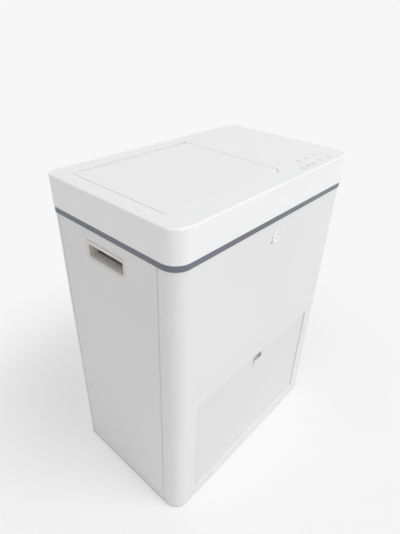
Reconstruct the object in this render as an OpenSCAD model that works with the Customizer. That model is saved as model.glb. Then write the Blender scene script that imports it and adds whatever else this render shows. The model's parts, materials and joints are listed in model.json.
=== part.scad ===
// Electric food waste composter: a floor-standing cabinet with an inset lid over a heated
// mixing chamber, and a drawer below that catches the finished compost.
// Origin on the floor under the middle of the cabinet, +Z up, front face towards -Y.

/* [Cabinet] */
// Overall width, across the top cover
body_w = 600; // [560:5:680]
// Overall depth, across the top cover
body_d = 370; // [350:2:420]
// Overall height, from the floor to the top of the cover
body_h = 800; // [740:5:880]
// Corner radius of the cover at the front
front_r = 36; // [28:1:44]
// Corner radius of the cover at the rear
rear_r = 24; // [18:1:32]
// How far the cover stands out past the panels, on each side
cover_overhang = 2.5; // [2:0.5:4]

/* [Top cover and trim band] */
// Height of the cover's rim
cover_h = 68; // [64:1:80]
// Wall thickness of the cover
cover_wall = 3; // [2.5:0.5:4]
// Radius of the soft edge round the cover's top
cover_edge_r = 4; // [3:0.5:6]
// Height of the grey trim band that shows
band_h = 13; // [10:1:16]
// How far the band lies back from the cover's face
band_inset = 1; // [0.5:0.5:2]
// Width of the trim band's ring
band_ring_w = 12; // [10:1:14]

/* [Panels and base] */
// Sheet thickness of the outer panels
panel_t = 2; // [1.5:0.5:2.5]
// How far the front panel wraps back along the sides
front_wrap = 45; // [40:1:52]
// How far the rear panel wraps forward along the sides
rear_wrap = 24; // [22:1:28]
// Width of the seam between two panels
seam_gap = 1.2; // [0.5:0.1:1.5]
// Depth of the bent flanges inside the panels
flange_w = 10; // [8:1:11]
// Height of the base pan's edge that shows below the panels
base_edge_h = 6; // [4:1:9]
// How far the base edge stands out past the panels
base_lip = 1; // [0.5:0.5:2]
// Height of the base pan's inner wall above its edge
base_wall_h = 22; // [14:1:26]
// Height of the rubber feet below the base pan
foot_h = 4; // [3:1:8]
// Radius of a rubber foot
foot_r = 18; // [14:1:22]
// Distance of each foot's middle from the cabinet's sides
foot_margin = 48; // [44:1:60]

/* [Carrying handles] */
// Length of a handle's rim
handle_w = 118; // [100:2:128]
// Height of a handle's rim
handle_h = 44; // [38:1:48]
// Width of the rim beside and below the grip pocket
handle_rim = 6; // [5:0.5:8]
// Width of the rim above the grip pocket, which slopes in
handle_brow = 10; // [8:0.5:12]
// Depth of the grip pocket
handle_depth = 24; // [18:1:26]
// Height of the handle's middle below the panel's top
handle_drop = 47; // [44:1:60]
// Distance of the handle's middle behind the cabinet's middle
handle_y = 9; // [-10:1:20]

/* [Lid] */
// Distance of the lid's left edge from the cover's left side
lid_left = 37; // [36:1:42]
// Distance of the lid's right edge from the cover's right side
lid_right = 236; // [234:1:250]
// Distance of the lid's front edge from the cover's front
lid_front = 47; // [44:1:50]
// Distance of the lid's rear edge from the cover's rear
lid_rear = 38; // [36:1:44]
// Corner radius of the lid at the front
lid_r = 20; // [14:1:26]
// Height of the lid's barrel edge: twice the distance from its top to its hinge axis
lid_t = 22; // [20:1:24]
// Gap all round the lid
lid_gap = 1.5; // [1:0.1:2.5]
// Wall thickness of the lid
lid_wall = 3; // [2.5:0.5:3.5]
// Width of the ledge between the lid's edge and the feed mouth
ledge_w = 18; // [16:1:19]
// Width of the ledge at the hinge side
ledge_rear_w = 35; // [33:1:38]
// Width of the lid seal
seal_w = 7; // [5:0.5:8]
// Height of the lid seal
seal_h = 3; // [2:0.5:4]
// Radius of the lid's hinge shaft
hinge_shaft_r = 4; // [3:0.25:4.5]

/* [Chamber and agitator] */
// Inner radius of the chamber's round bottom
chamber_r = 118; // [117:1:122]
// Sheet thickness of the chamber and the feed throat
chamber_t = 2; // [1.5:0.5:3]
// Height of the chamber's straight walls above its axis
chamber_wall_h = 112; // [110:1:116]
// Length of the discharge port, along the shaft
port_w = 130; // [100:5:150]
// Depth of the discharge port
port_d = 64; // [50:2:70]
// Radius of the agitator shaft
shaft_r = 14; // [10:1:16]
// Number of paddles on the shaft
paddle_count = 5; // [3:1:6]
// Radius that the paddle tips sweep
paddle_sweep_r = 108; // [96:1:112]
// Length of a paddle blade, along its edge
blade_w = 52; // [36:2:56]
// Turn of a blade out of the shaft's plane, in degrees
blade_turn = 28; // [0:1:40]

/* [Gears] */
// Module of the agitator's gears
drive_module = 2.5; // [2:0.25:2.5]
// Teeth of the agitator's drive gear
drive_teeth = 60; // [48:12:60]
// Teeth of the motor's pinion
drive_pinion_teeth = 15; // [12:1:18]
// Face width of the agitator's gears
drive_face = 16; // [12:1:18]
// Module of the lid's gears
lid_module = 1.25; // [1:0.05:1.25]
// Teeth that a full ring of the lid's sector gear would have
lid_teeth = 48; // [40:4:48]
// Teeth of the lid motor's pinion
lid_pinion_teeth = 12; // [12:1:14]
// Pressure angle of all gears, in degrees
pressure_angle = 25; // [22:1:27]
// Play between meshing teeth
backlash = 0.24; // [0.1:0.02:0.4]

/* [Drawer] */
// Distance of the drawer front's sides from the cabinet's sides
door_side = 68; // [64:1:72]
// Height of the drawer front's lower edge above the floor
door_z = 45; // [42:1:52]
// Height of the front panel's face above the drawer front
upper_front_h = 374; // [372:1:386]
// How far the drawer front lies back from the front panel's face
door_recess = 2.5; // [0.5:0.5:4]
// Gap all round the drawer front
door_gap = 1; // [0.8:0.1:2]
// Thickness of the drawer front
door_t = 18; // [16:1:22]
// Distance of the bin's sides from the drawer front's sides
bin_side = 27; // [26:1:44]
// Distance of the bin's rear from the rear panel's face
bin_rear = 59; // [56:1:80]
// Height of the space between the bin and the deck, where the flap opens
bin_headroom = 88; // [86:1:110]
// Wall thickness of the compost bin
bin_wall = 3; // [2:0.5:4]
// Height of the bin's bottom above the floor
bin_z = 56; // [52:1:60]
// Width of the pull cup at the drawer front's upper edge
pull_w = 34; // [30:1:50]
// Distance of the cup's rim below the drawer front's upper edge
pull_h = 16; // [14:1:20]
// Depth of the finger scoop above and behind the cup, into the drawer front's face
pull_depth = 5.5; // [5:0.5:10]
// How far the cup stands before the front panel
pull_proud = 2; // [0:0.5:2.5]
// Height of a drawer slide
slide_h = 45; // [35:1:50]
// Thickness of a drawer slide across its three members
slide_t = 12.7; // [11:0.1:14]

/* [Front button] */
// Radius of the button's bezel
bezel_r = 16; // [15:0.5:18]
// Radius of the button
button_r = 12.5; // [10:0.5:13]
// Distance of the button's middle below the panel's top
button_drop = 40; // [34:1:48]
// Distance of the button's middle right of the front's middle
button_x = 6; // [3:1:12]

/* [Running fits] */
// Clearance between a turning shaft and its bore, on the radius
run_clear = 0.05; // [0.02:0.01:0.1]
// Clearance between a fixed piece and its curved or stepped seat
seat_clear = 0.2; // [0.1:0.05:0.3]

/* [Hidden] */
$fn = 64;
// Outer faces and levels of the cabinet
half_w = body_w / 2;
half_d = body_d / 2;
panel_inset = cover_overhang;
panel_inner = panel_inset + panel_t;
base_z = foot_h;
floor_t = 2;
floor_z = base_z + floor_t;
panel_z0 = base_z + base_edge_h;
cover_z0 = body_h - cover_h;
panel_z1 = cover_z0 - band_h;
panel_x = half_w - panel_inset;
panel_y = half_d - panel_inset;
front_seam_y = -panel_y + front_wrap;
rear_seam_y = panel_y - rear_wrap;
side_flange_z0 = panel_z0 + base_wall_h + 4;
// The handles: the rim's corners and soft edge, and how far it laps the panel's cut-out
handle_r = 8;
handle_proud = 2.4;
handle_soft = handle_proud / 2;
handle_crest = 2;
handle_lap = 4;
handle_wall = 2;
handle_z = panel_z1 - handle_drop;
// The frame inside the panels
frame_t = 2;
sheet_bend_r = 2;
post_w = 20;
post_inset = 15;
post_x = half_w - post_inset;
post_y = half_d - post_inset - 5;
ring_w = 22;
ring_h = 12;
ring_inset = panel_inner + flange_w + 1;
ring_z1 = panel_z1 - panel_t;
ring_z0 = ring_z1 - ring_h;
top_flange_w = ring_inset - panel_inset + 3;
// The lid's place in the cover, and the feed mouth under it
lid_x0 = -half_w + lid_left;
lid_x1 = half_w - lid_right;
lid_y0 = -half_d + lid_front;
lid_y1 = half_d - lid_rear;
lid_z0 = body_h - lid_t;
// The rear corners are almost square, so that the raised lid clears the well's rear corners
lid_rear_r = 2;
hinge_r = lid_t / 2;
hinge_y = lid_y1 - hinge_r;
hinge_z = body_h - hinge_r;
ledge_z1 = lid_z0 - seal_h;
ledge_z0 = ledge_z1 - cover_wall;
well_wall = 2.5;
well_x0 = lid_x0 - lid_gap;
well_x1 = lid_x1 + lid_gap;
mouth_x0 = lid_x0 + ledge_w;
mouth_x1 = lid_x1 - ledge_w;
mouth_y0 = lid_y0 + ledge_w;
mouth_y1 = lid_y1 - ledge_rear_w;
mouth_r = 12;
cover_boss_r = 6;
cover_boss_inset = ring_inset + ring_w / 2 + 3.5;
cover_bore_r = 1.7;
cover_bore_h = 15;
cover_rib_t = 2;
cover_rib_h = 9;
lid_skin_z = body_h - lid_wall;
cover_skin_z = body_h - cover_wall;
liner_t = 2;
// The drawer and its bay
door_w = body_w - 2 * door_side;
door_z1 = panel_z1 - upper_front_h;
door_y = -panel_y + door_recess;
door_back_y = -panel_y + door_t;
door_r = 7;
window_r = 2;
door_skin_t = 2;
pull_t = 1.8;
cup_h = 12;
scoop_r = 60;
liner_plate_t = 2;
deck_z0 = door_z1 + 7;
deck_t = 2;
deck_z1 = deck_z0 + deck_t;
deck_front_y = -panel_y + 8;
bin_x = door_w / 2 - bin_side;
bin_y0 = door_back_y + liner_plate_t;
bin_y1 = panel_y - bin_rear;
bin_z1 = deck_z0 - bin_headroom;
bin_lip = 5;
bay_x = bin_x + slide_t;
bay_x1 = bay_x + frame_t;
bay_y0 = bin_y0 + 2;
slide_y0 = bay_y0 + 3;
slide_tail = 19;
slide_y1 = bin_y1 + slide_tail;
bay_y1 = slide_y1 + 3;
slide_z = (bin_z + bin_z1) / 2;
slide_sheet = 1.4;
slide_step = (slide_t - slide_sheet) / 2;
slide_play = 0.5;
// The chamber above the deck
cradle_gap = 26;
chamber_y = (mouth_y0 + mouth_y1) / 2;
chamber_out_r = chamber_r + chamber_t;
chamber_z = deck_z1 + cradle_gap + chamber_out_r;
chamber_x0 = mouth_x0 - 12;
chamber_x1 = mouth_x1 + 11;
chamber_top = chamber_z + chamber_wall_h;
flange_t = 2;
chamber_flange = 11;
throat_z0 = chamber_top + flange_t;
port_x = (chamber_x0 + chamber_x1) / 2;
port_z = deck_z0 - 7;
flap_t = 4;
flap_y = chamber_y + port_d / 2 + chamber_t + 8;
flap_z = port_z - flap_t / 2 - 0.3;
shaft_x0 = chamber_x0 - chamber_t - 20;
housing_t = 18;
housing_w = 66;
bearing_r = 24;
seal_ring_t = 6;
// The drive bay, right of the chamber
bulkhead_x = chamber_x1 + chamber_t + housing_t + 3;
gear_x = bulkhead_x + frame_t + 8;
drive_pitch_r = drive_module * drive_teeth / 2;
drive_pinion_r = drive_module * drive_pinion_teeth / 2;
drive_axis_z = chamber_z - drive_pitch_r - drive_pinion_r;
motor_shaft_r = 6;
motor_plate_x = gear_x + drive_face + 8;
motor_plate_t = 3;
gearbox_w = 72;
gearbox_t = 46;
motor_can_r = 30;
motor_can_l = 78;
shaft_x1 = gear_x + drive_face + 2;
// The lid's drive
lid_pitch_r = lid_module * lid_teeth / 2;
lid_pinion_r = lid_module * lid_pinion_teeth / 2;
lid_motor_z = hinge_z - lid_pitch_r - lid_pinion_r;
lid_gear_x = well_x1 + well_wall + 12;
lid_gear_t = 8;
lid_open_deg = 80;
lid_bracket_x = lid_gear_x + lid_gear_t + 3;
lid_bracket_t = 2;
lid_bracket_foot = 22;
lid_motor_r = 14;
lid_motor_l = 52;
lid_motor_shaft_r = 3;
shaft_grip = 10;
boss_r = 7.8;
bush_r = 6;
// Exhaust air: duct, fan, filter box and grille
fan_w = 80;
duct_r = 20;
duct_t = 1.5;
duct_y = chamber_y + 64;
duct_z = ring_z0 - fan_w / 2 - 8;
fan_t = 25;
fan_bore_r = 37;
fan_x = bulkhead_x + frame_t + 24;
fan_blades = 7;
fan_hub_t = 6;
fan_pin_r = 2;
filter_x0 = fan_x + fan_t;
filter_x1 = post_x - post_w - 2;
filter_y0 = duct_y - fan_w / 2 - 4;
filter_y1 = half_d - panel_inner;
filter_z0 = duct_z - fan_w / 2 - 30;
filter_z1 = duct_z + fan_w / 2 + 4;
filter_wall = 2;
slot_h = 5;
slot_pitch = 11;
grille_rows = 11;
// Electrics
psu_x0 = gear_x + drive_face + 14;
psu_x1 = half_w - 60;
psu_y1 = half_d - 51;
psu_y0 = psu_y1 - 76;
psu_h = 58;
board_x0 = gear_x + drive_face + 14;
board_x1 = half_w - 50;
board_y = -panel_y + 24;
board_z0 = deck_z1 + 96;
board_z1 = board_z0 + 150;
board_t = 1.6;
touch_x0 = well_x1 + 34;
touch_x1 = half_w - 52.5;
touch_y0 = -half_d + cover_wall + 6;
touch_d = 67;
inlet_w = 50;
inlet_h = 30;
inlet_x = half_w - 66;
inlet_z = 120;
rocker_w = 14;
rocker_h = 19;
rocker_pivot = 6;
rocker_pin_r = 1.5;
rocker_x = inlet_x + inlet_w / 2 - 12;
rocker_tilt = 8;
// Front button and lamp
button_z = panel_z1 - button_drop;
bezel_t = 2;
button_travel = 2;
button_proud = 1.6;
lamp_r = 1.4;
lamp_x = -13.5;
lamp_drop = 7.5;

// Plain helpers

// A box between two opposite corners
module box(a, b) {
  translate(a) cube([b[0] - a[0], b[1] - a[1], b[2] - a[2]]);
}

// A round rod along X, from x0 to x1
module rod_x(x0, x1, y, z, r) {
  translate([x0, y, z]) rotate([0, 90, 0]) cylinder(r = r, h = x1 - x0);
}

// A round rod along Y, from y0 to y1
module rod_y(y0, y1, x, z, r) {
  translate([x, y0, z]) rotate([-90, 0, 0]) cylinder(r = r, h = y1 - y0);
}

// A round rod along Z, from z0 to z1
module rod_z(z0, z1, x, y, r) {
  translate([x, y, z0]) cylinder(r = r, h = z1 - z0);
}

// A flat shape in the Y-Z plane, thick along X
module plate_x(x0, t) {
  translate([x0, 0, 0]) rotate([90, 0, 90]) linear_extrude(t) children();
}

// A flat shape in the X-Z plane, thick along Y
module plate_y(y0, t) {
  translate([0, y0 + t, 0]) rotate([90, 0, 0]) linear_extrude(t) children();
}

// A rectangle with front corners of radius rf and rear corners of radius rb
module outline(x0, x1, y0, y1, rf, rb) {
  translate([x0, y0 + rf]) square([x1 - x0, y1 - y0 - rf - rb]);
  translate([x0 + rf, y0]) square([x1 - x0 - 2 * rf, rf]);
  translate([x0 + rb, y1 - rb]) square([x1 - x0 - 2 * rb, rb]);
  for (x = [x0 + rf, x1 - rf]) translate([x, y0 + rf]) circle(rf);
  for (x = [x0 + rb, x1 - rb]) translate([x, y1 - rb]) circle(rb);
}

// The cabinet's outline, drawn in by inset
module cabinet_outline(inset) {
  outline(-half_w + inset, half_w - inset, -half_d + inset, half_d - inset,
          max(front_r - inset, sheet_bend_r), max(rear_r - inset, sheet_bend_r));
}

// A solid slice of the cabinet's outline between two levels
module cabinet_slice(inset, z0, z1) {
  translate([0, 0, z0]) linear_extrude(z1 - z0) cabinet_outline(inset);
}

// The lid's outline, grown by out
module lid_outline(out) {
  outline(lid_x0 - out, lid_x1 + out, lid_y0 - out, lid_y1 + out, lid_r + out, lid_rear_r + out);
}

// The feed mouth's outline, grown by out
module mouth_outline(out) {
  outline(mouth_x0 - out, mouth_x1 + out, mouth_y0 - out, mouth_y1 + out,
          mouth_r + out, mouth_r + out);
}

// A block between z0 and z1 with front corners rf, rear corners rb and a soft upper edge e.
// Its half sizes are x and y.
module soft_block(x, y, z0, z1, rf, rb, e) {
  translate([0, 0, z0]) linear_extrude(z1 - z0 - e) outline(-x, x, -y, y, rf, rb);
  translate([0, 0, z1 - e]) {
    linear_extrude(e) outline(-x + e, x - e, -y + e, y - e, rf - e, rb - e);
    rod_x(-x + rf, x - rf, -y + e, 0, e);
    rod_x(-x + rb, x - rb, y - e, 0, e);
    for (s = [-1, 1]) {
      rod_y(-y + rf, y - rb, s * (x - e), 0, e);
    }
    edge_corner(x - rf, -y + rf, rf, e, -90);
    edge_corner(x - rb, y - rb, rb, e, 0);
    edge_corner(-x + rb, y - rb, rb, e, 90);
    edge_corner(-x + rf, -y + rf, rf, e, 180);
  }
}

// A quarter of a round edge, about a corner's centre
module edge_corner(x, y, r, e, turn) {
  translate([x, y, 0]) rotate([0, 0, turn]) rotate_extrude(angle = 90) translate([r - e, 0]) circle(e);
}

// Gears

// Involute of an angle, in degrees
function involute(a) = tan(a) * 180 / PI - a;

// Half the angle that a tooth spans at radius r
function tooth_half_angle(r, n, m) =
  let (pitch = m * n / 2, base = pitch * cos(pressure_angle), rr = max(r, base))
  90 / n - backlash / (4 * pitch) * 180 / PI + involute(pressure_angle) - involute(acos(base / rr));

// Radii along a tooth's flank, from root to tip
function flank_radii(n, m) =
  let (pitch = m * n / 2, root = pitch - 1.25 * m, tip = pitch + m)
  let (base = max(root, pitch * cos(pressure_angle)))
  [root, for (k = [0:3]) base + (tip - base) * k / 3];

// The whole outline of a spur gear, with one tooth on +X
function gear_points(n, m) =
  let (radii = flank_radii(n, m), last = len(radii) - 1)
  [for (t = [0:n - 1]) for (side = [-1, 1]) for (k = [0:last])
    let (r = radii[side < 0 ? k : last - k], a = 360 * t / n + side * tooth_half_angle(r, n, m))
    [r * cos(a), r * sin(a)]];

// A spur gear's face with a tooth turned to the angle given
module gear_face(n, m, turn) {
  rotate(turn) polygon(gear_points(n, m));
}

// Cabinet

module base_pan() {
  edge = panel_inset - base_lip;
  wall_out = panel_inner + seat_clear;
  rib_h = 8;
  rib_x = bay_x - 4;
  color("white") {
    difference() {
      union() {
        cabinet_slice(edge, base_z, panel_z0);
        cabinet_slice(wall_out, panel_z0, panel_z0 + base_wall_h);
      }
      cabinet_slice(wall_out + frame_t, floor_z, panel_z0 + base_wall_h + 1);
      each_foot() cylinder(r = foot_r / 4 + seat_clear, h = floor_z + 1);
      for (k = [-5:5]) {
        translate([k * 22, half_d - 70, base_z - 1]) linear_extrude(floor_t + 2) slot_shape(6, 44);
      }
    }
    for (y = [-half_d + 55, -half_d + 125, half_d - 120]) {
      box([-rib_x, y, floor_z - 1], [rib_x, y + frame_t, floor_z + rib_h]);
    }
  }
}

// A slot with round ends, w wide and l long
module slot_shape(w, l) {
  square([w, l - w], center = true);
  for (s = [-1, 1]) translate([0, s * (l - w) / 2]) circle(w / 2);
}

module each_foot() {
  for (x = [-1, 1], y = [-1, 1]) {
    translate([x * (half_w - foot_margin), y * (half_d - foot_margin), 0]) children();
  }
}

module feet() {
  bevel = 1;
  color("dimgray") each_foot() rotate_extrude() polygon([[0, 0], [foot_r - bevel, 0], [foot_r, bevel],
    [foot_r, base_z], [foot_r / 4, base_z], [foot_r / 4, floor_z + 2], [0, floor_z + 2]]);
}

// The drawer front's rectangle, grown by out, with corners of radius r
module door_shape(out, r) {
  w = door_w / 2 + out;
  outline(-w, w, door_z - out, door_z1 + out, r, r);
}

module front_panel() {
  seam = front_seam_y - seam_gap / 2;
  lip = 12;
  color("white") difference() {
    union() {
      difference() {
        cabinet_slice(panel_inset, panel_z0, panel_z1);
        cabinet_slice(panel_inner, panel_z0 - 1, panel_z1 - panel_t);
        cabinet_slice(panel_inset + top_flange_w, panel_z1 - panel_t - 1, panel_z1 + 1);
        box([-half_w, seam, 0], [half_w, half_d, body_h]);
      }
      for (s = [-1, 1]) {
        side_flange(s, seam - panel_t);
      }
      difference() {
        plate_y(-panel_y + panel_t / 2, lip) door_shape(door_gap + panel_t, window_r + panel_t);
        plate_y(-panel_y - 1, lip + 4) door_shape(door_gap, window_r);
      }
    }
    plate_y(-panel_y - 1, panel_t + 2) door_shape(door_gap, window_r);
    rod_y(-half_d, -panel_y + 5, button_x, button_z, button_r + 2 + seat_clear);
    rod_y(-half_d, -panel_y + 5, lamp_x, button_z - lamp_drop, lamp_r + seat_clear);
  }
}

// A bent flange that runs down inside a panel's edge, on side s
module side_flange(s, y) {
  inner = s * (panel_x - panel_t - flange_w);
  outer = s * (panel_x - panel_t / 2);
  box([min(inner, outer), y, side_flange_z0], [max(inner, outer), y + panel_t, ring_z0 - 3]);
}

// The side panel on side s, -1 for left and 1 for right
module side_panel(s) {
  y0 = front_seam_y + seam_gap / 2;
  y1 = rear_seam_y - seam_gap / 2;
  outer = s * panel_x;
  inner = s * (panel_x - panel_t);
  lip = s * (panel_x - top_flange_w);
  color("white") difference() {
    union() {
      box([min(outer, inner), y0, panel_z0], [max(outer, inner), y1, panel_z1]);
      box([min(outer, lip), y0, panel_z1 - panel_t], [max(outer, lip), y1, panel_z1]);
      side_flange(s, y0);
      side_flange(s, y1 - panel_t);
    }
    plate_x(s * panel_x - 5, 10) handle_shape(seat_clear - handle_lap);
  }
}

module left_side_panel() {
  side_panel(-1);
}

module right_side_panel() {
  side_panel(1);
}

// The handle's outline in the side's plane, grown by out
module handle_shape(out) {
  r = handle_r + out;
  outline(handle_y - handle_w / 2 - out, handle_y + handle_w / 2 + out,
          handle_z - handle_h / 2 - out, handle_z + handle_h / 2 + out, r, r);
}

// The grip pocket's mouth in the side's plane, nearer to the rim's lower edge
module handle_mouth() {
  half = handle_w / 2 - handle_rim;
  outline(handle_y - half, handle_y + half, handle_z - handle_h / 2 + handle_rim,
          handle_z + handle_h / 2 - handle_brow, handle_lap, handle_lap);
}

// The space in front of the mouth, which the rim's inner slopes enclose: from the mouth's edge at
// the panel to a narrow crest at the rim's outer face
module handle_flare() {
  x0 = panel_x - panel_t / 2;
  x1 = panel_x + handle_proud;
  run = 1 + 1 / (x1 - x0);
  x2 = x0 + run * (x1 - x0);
  side = handle_w / 2 - handle_rim;
  side_out = side + run * (handle_rim - handle_crest);
  low = handle_z - handle_h / 2 + handle_rim;
  low_out = low - run * (handle_rim - handle_crest);
  high = handle_z + handle_h / 2 - handle_brow;
  high_out = high + run * (handle_brow - handle_crest);
  intersection() {
    plate_x(x0, x2 - x0) handle_shape(-handle_crest);
    plate_y(handle_y - handle_w, 2 * handle_w)
      polygon([[x0, low], [x2, low_out], [x2, high_out], [x0, high]]);
    translate([0, handle_y, handle_z - handle_h]) linear_extrude(2 * handle_h)
      polygon([[x0, -side], [x2, -side_out], [x2, side_out], [x0, side]]);
  }
}

// The right handle: a proud rim with a soft outer edge that slopes in to the mouth, and behind it
// a pocket for the fingers that is higher than its mouth
module one_handle() {
  color("gainsboro") difference() {
    union() {
      translate([panel_x, handle_y, handle_z]) rotate([90, 0, 90])
        soft_block(handle_w / 2, handle_h / 2, 0, handle_proud, handle_r, handle_r, handle_soft);
      plate_x(panel_x - handle_depth, handle_depth + 0.5) handle_shape(-handle_lap);
    }
    handle_flare();
    plate_x(panel_x - panel_t - 3, panel_t + 3) handle_mouth();
    plate_x(panel_x - handle_depth + handle_wall, handle_depth - handle_wall - panel_t - 2)
      handle_shape(-handle_lap - handle_wall);
  }
}

module carrying_handles() {
  one_handle();
  mirror([1, 0, 0]) one_handle();
}

module rear_panel() {
  seam = rear_seam_y + seam_gap / 2;
  color("white") difference() {
    union() {
      difference() {
        cabinet_slice(panel_inset, panel_z0, panel_z1);
        cabinet_slice(panel_inner, panel_z0 - 1, panel_z1 - panel_t);
        cabinet_slice(panel_inset + top_flange_w, panel_z1 - panel_t - 1, panel_z1 + 1);
        box([-half_w, -half_d, 0], [half_w, seam, body_h]);
      }
      for (s = [-1, 1]) {
        side_flange(s, seam);
      }
    }
    exhaust_slots();
    intake_slots();
    box([inlet_x - inlet_w / 2 - seat_clear, panel_y - 5, inlet_z - inlet_h / 2 - seat_clear],
        [inlet_x + inlet_w / 2 + seat_clear, panel_y + 5, inlet_z + inlet_h / 2 + seat_clear]);
  }
}

// The exhaust grille: rows of slots over the filter box
module exhaust_slots() {
  x = (filter_x0 + filter_x1) / 2;
  z = (filter_z0 + filter_z1) / 2;
  for (row = [0:grille_rows - 1], side = [-1, 1]) {
    translate([x + side * 29, panel_y, z + (row - (grille_rows - 1) / 2) * slot_pitch])
      rotate([90, 90, 0]) linear_extrude(10, center = true) slot_shape(slot_h, 48);
  }
}

// Slots low on the left that let cooling air in
module intake_slots() {
  for (row = [0:5], side = [-1, 1]) {
    translate([-half_w + 120 + side * 32, panel_y, 90 + row * slot_pitch])
      rotate([90, 90, 0]) linear_extrude(10, center = true) slot_shape(slot_h, 54);
  }
}

module trim_band() {
  lip = cover_wall + seat_clear;
  color("slategray") difference() {
    union() {
      cabinet_slice(band_inset, panel_z1, cover_z0);
      cabinet_slice(lip, cover_z0, cover_z0 + 8);
    }
    cabinet_slice(band_inset + band_ring_w, panel_z1 - 1, cover_z0 + 9);
    cabinet_slice(lip + 2, cover_z0, cover_z0 + 9);
  }
}

module top_cover() {
  color("white") difference() {
    union() {
      difference() {
        soft_block(half_w, half_d, cover_z0, body_h, front_r, rear_r, cover_edge_r);
        cabinet_slice(cover_wall, cover_z0 - 1, cover_skin_z);
      }
      translate([0, 0, ledge_z0]) linear_extrude(cover_skin_z - ledge_z0 + 1)
        lid_outline(lid_gap + well_wall);
      for (end = [[well_x0 - well_wall - 8, well_x0], [well_x1, well_x1 + well_wall + 8]]) {
        rod_x(end[0], end[1], hinge_y, hinge_z, boss_r);
      }
      each_cover_boss() cylinder(r = cover_boss_r, h = cover_skin_z - ring_z1 + 1);
      cover_ribs();
    }
    translate([0, 0, ledge_z1]) linear_extrude(lid_t + seal_h + 1) lid_outline(lid_gap);
    translate([0, 0, ledge_z0 - 1]) linear_extrude(cover_wall + 2) mouth_outline(0);
    rod_x(well_x0 - well_wall - 9, well_x1 + well_wall + 9, hinge_y, hinge_z, bush_r);
    each_cover_boss() translate([0, 0, -1]) cylinder(r = cover_bore_r, h = cover_bore_h + 1);
  }
}

// Ribs that stiffen the cover's flat part on the right, behind the touch sensor
module cover_ribs() {
  x0 = lid_bracket_x + lid_bracket_foot + 8;
  y0 = touch_y0 + touch_d + 6;
  z0 = cover_skin_z - cover_rib_h;
  for (k = [0:2]) {
    x = x0 + (touch_x1 - x0) * k / 2;
    box([x, y0, z0], [x + cover_rib_t, half_d - 1, cover_skin_z + 1]);
  }
  box([x0, y0, z0], [half_w - 1, y0 + cover_rib_t, cover_skin_z + 1]);
}

// Screw bosses under the cover, which stand on the frame's upper ring
module each_cover_boss() {
  for (x = [-1, 1], y = [-1, 1]) {
    translate([x * (half_w - cover_boss_inset), y * (half_d - cover_boss_inset), ring_z1])
      children();
  }
}

// Frame

// Four upright angle sections, each with its heel towards the cabinet's corner
module frame_posts() {
  color("lightsteelblue") for (x = [-1, 1], y = [-1, 1]) {
    scale([x, y, 1]) difference() {
      box([post_x - post_w, post_y - post_w, floor_z], [post_x, post_y, ring_z0]);
      box([post_x - post_w - 1, post_y - post_w - 1, floor_z - 1],
          [post_x - frame_t, post_y - frame_t, ring_z0 + 1]);
    }
  }
}

// A ring of angle section that ties the posts together
module top_frame() {
  color("lightsteelblue") difference() {
    cabinet_slice(ring_inset, ring_z0, ring_z1);
    cabinet_slice(ring_inset + frame_t, ring_z0 - 1, ring_z1 - frame_t);
    cabinet_slice(ring_inset + ring_w, ring_z0, ring_z1 + 1);
    each_cover_boss() translate([0, 0, -frame_t - 1]) cylinder(r = cover_bore_r + 0.5, h = frame_t + 2);
  }
}

// The two upright plates that carry the drawer slides and the deck
module drawer_bay_plates() {
  foot_w = 16;
  color("lightsteelblue") for (s = [-1, 1]) {
    inner = s * bay_x;
    outer = s * bay_x1;
    toe = s * (bay_x1 + foot_w);
    box([min(inner, outer), bay_y0, floor_z], [max(inner, outer), bay_y1, deck_z0]);
    box([min(inner, toe), bay_y0, floor_z], [max(inner, toe), bay_y1, floor_z + frame_t]);
    box([min(inner, toe), bay_y0, deck_z0 - frame_t], [max(inner, toe), bay_y1, deck_z0]);
  }
}

// The deck over the drawer, which carries the chamber and the drive
module mid_deck() {
  rim = 14;
  x = half_w - ring_inset;
  y1 = post_y - post_w - 3;
  color("lightsteelblue") difference() {
    union() {
      box([-x, deck_front_y, deck_z0], [x, y1, deck_z1]);
      box([-x + 1, deck_front_y, deck_z0], [x - 1, deck_front_y + deck_t, deck_z1 + rim]);
    }
    for (s = [-1, 1]) {
      notch = s * (post_x - post_w - seat_clear);
      box([min(notch, s * half_w), -half_d, deck_z0 - 1],
          [max(notch, s * half_w), -post_y + post_w + seat_clear, deck_z1 + rim + 1]);
    }
    box([port_x - port_w / 2 - 5, chamber_y - port_d / 2 - 6, deck_z0 - 1],
        [port_x + port_w / 2 + 5, chamber_y + port_d / 2 + 6, deck_z1 + 1]);
    for (x = [-half_w + 70, half_w - 44]) {
      translate([x, half_d - 62, deck_z0 - 1]) linear_extrude(deck_t + 2) slot_shape(12, 34);
    }
  }
}

// Lid

// The lid's side view: flat in front, a half round at the hinge edge
module lid_profile() {
  translate([lid_y0 - 1, lid_z0]) square([hinge_y - lid_y0 + 1, lid_t]);
  translate([hinge_y, hinge_z]) circle(hinge_r);
}

module lid() {
  color("white") difference() {
    intersection() {
      translate([0, 0, lid_z0]) linear_extrude(lid_t) lid_outline(0);
      plate_x(lid_x0, lid_x1 - lid_x0) lid_profile();
    }
    translate([0, 0, lid_z0 - 1]) linear_extrude(lid_skin_z - lid_z0 + 1) lid_hollow(0);
    rod_x(lid_x0 - 1, lid_x1 + 1, hinge_y, hinge_z, hinge_shaft_r + seat_clear / 4);
  }
}

// The outline of the hollow under the lid's skin, drawn in by gap
module lid_hollow(gap) {
  inset = lid_wall + gap;
  outline(lid_x0 + inset, lid_x1 - inset, lid_y0 + inset, hinge_y - hinge_r - gap, lid_r - inset, 3);
}

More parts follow.
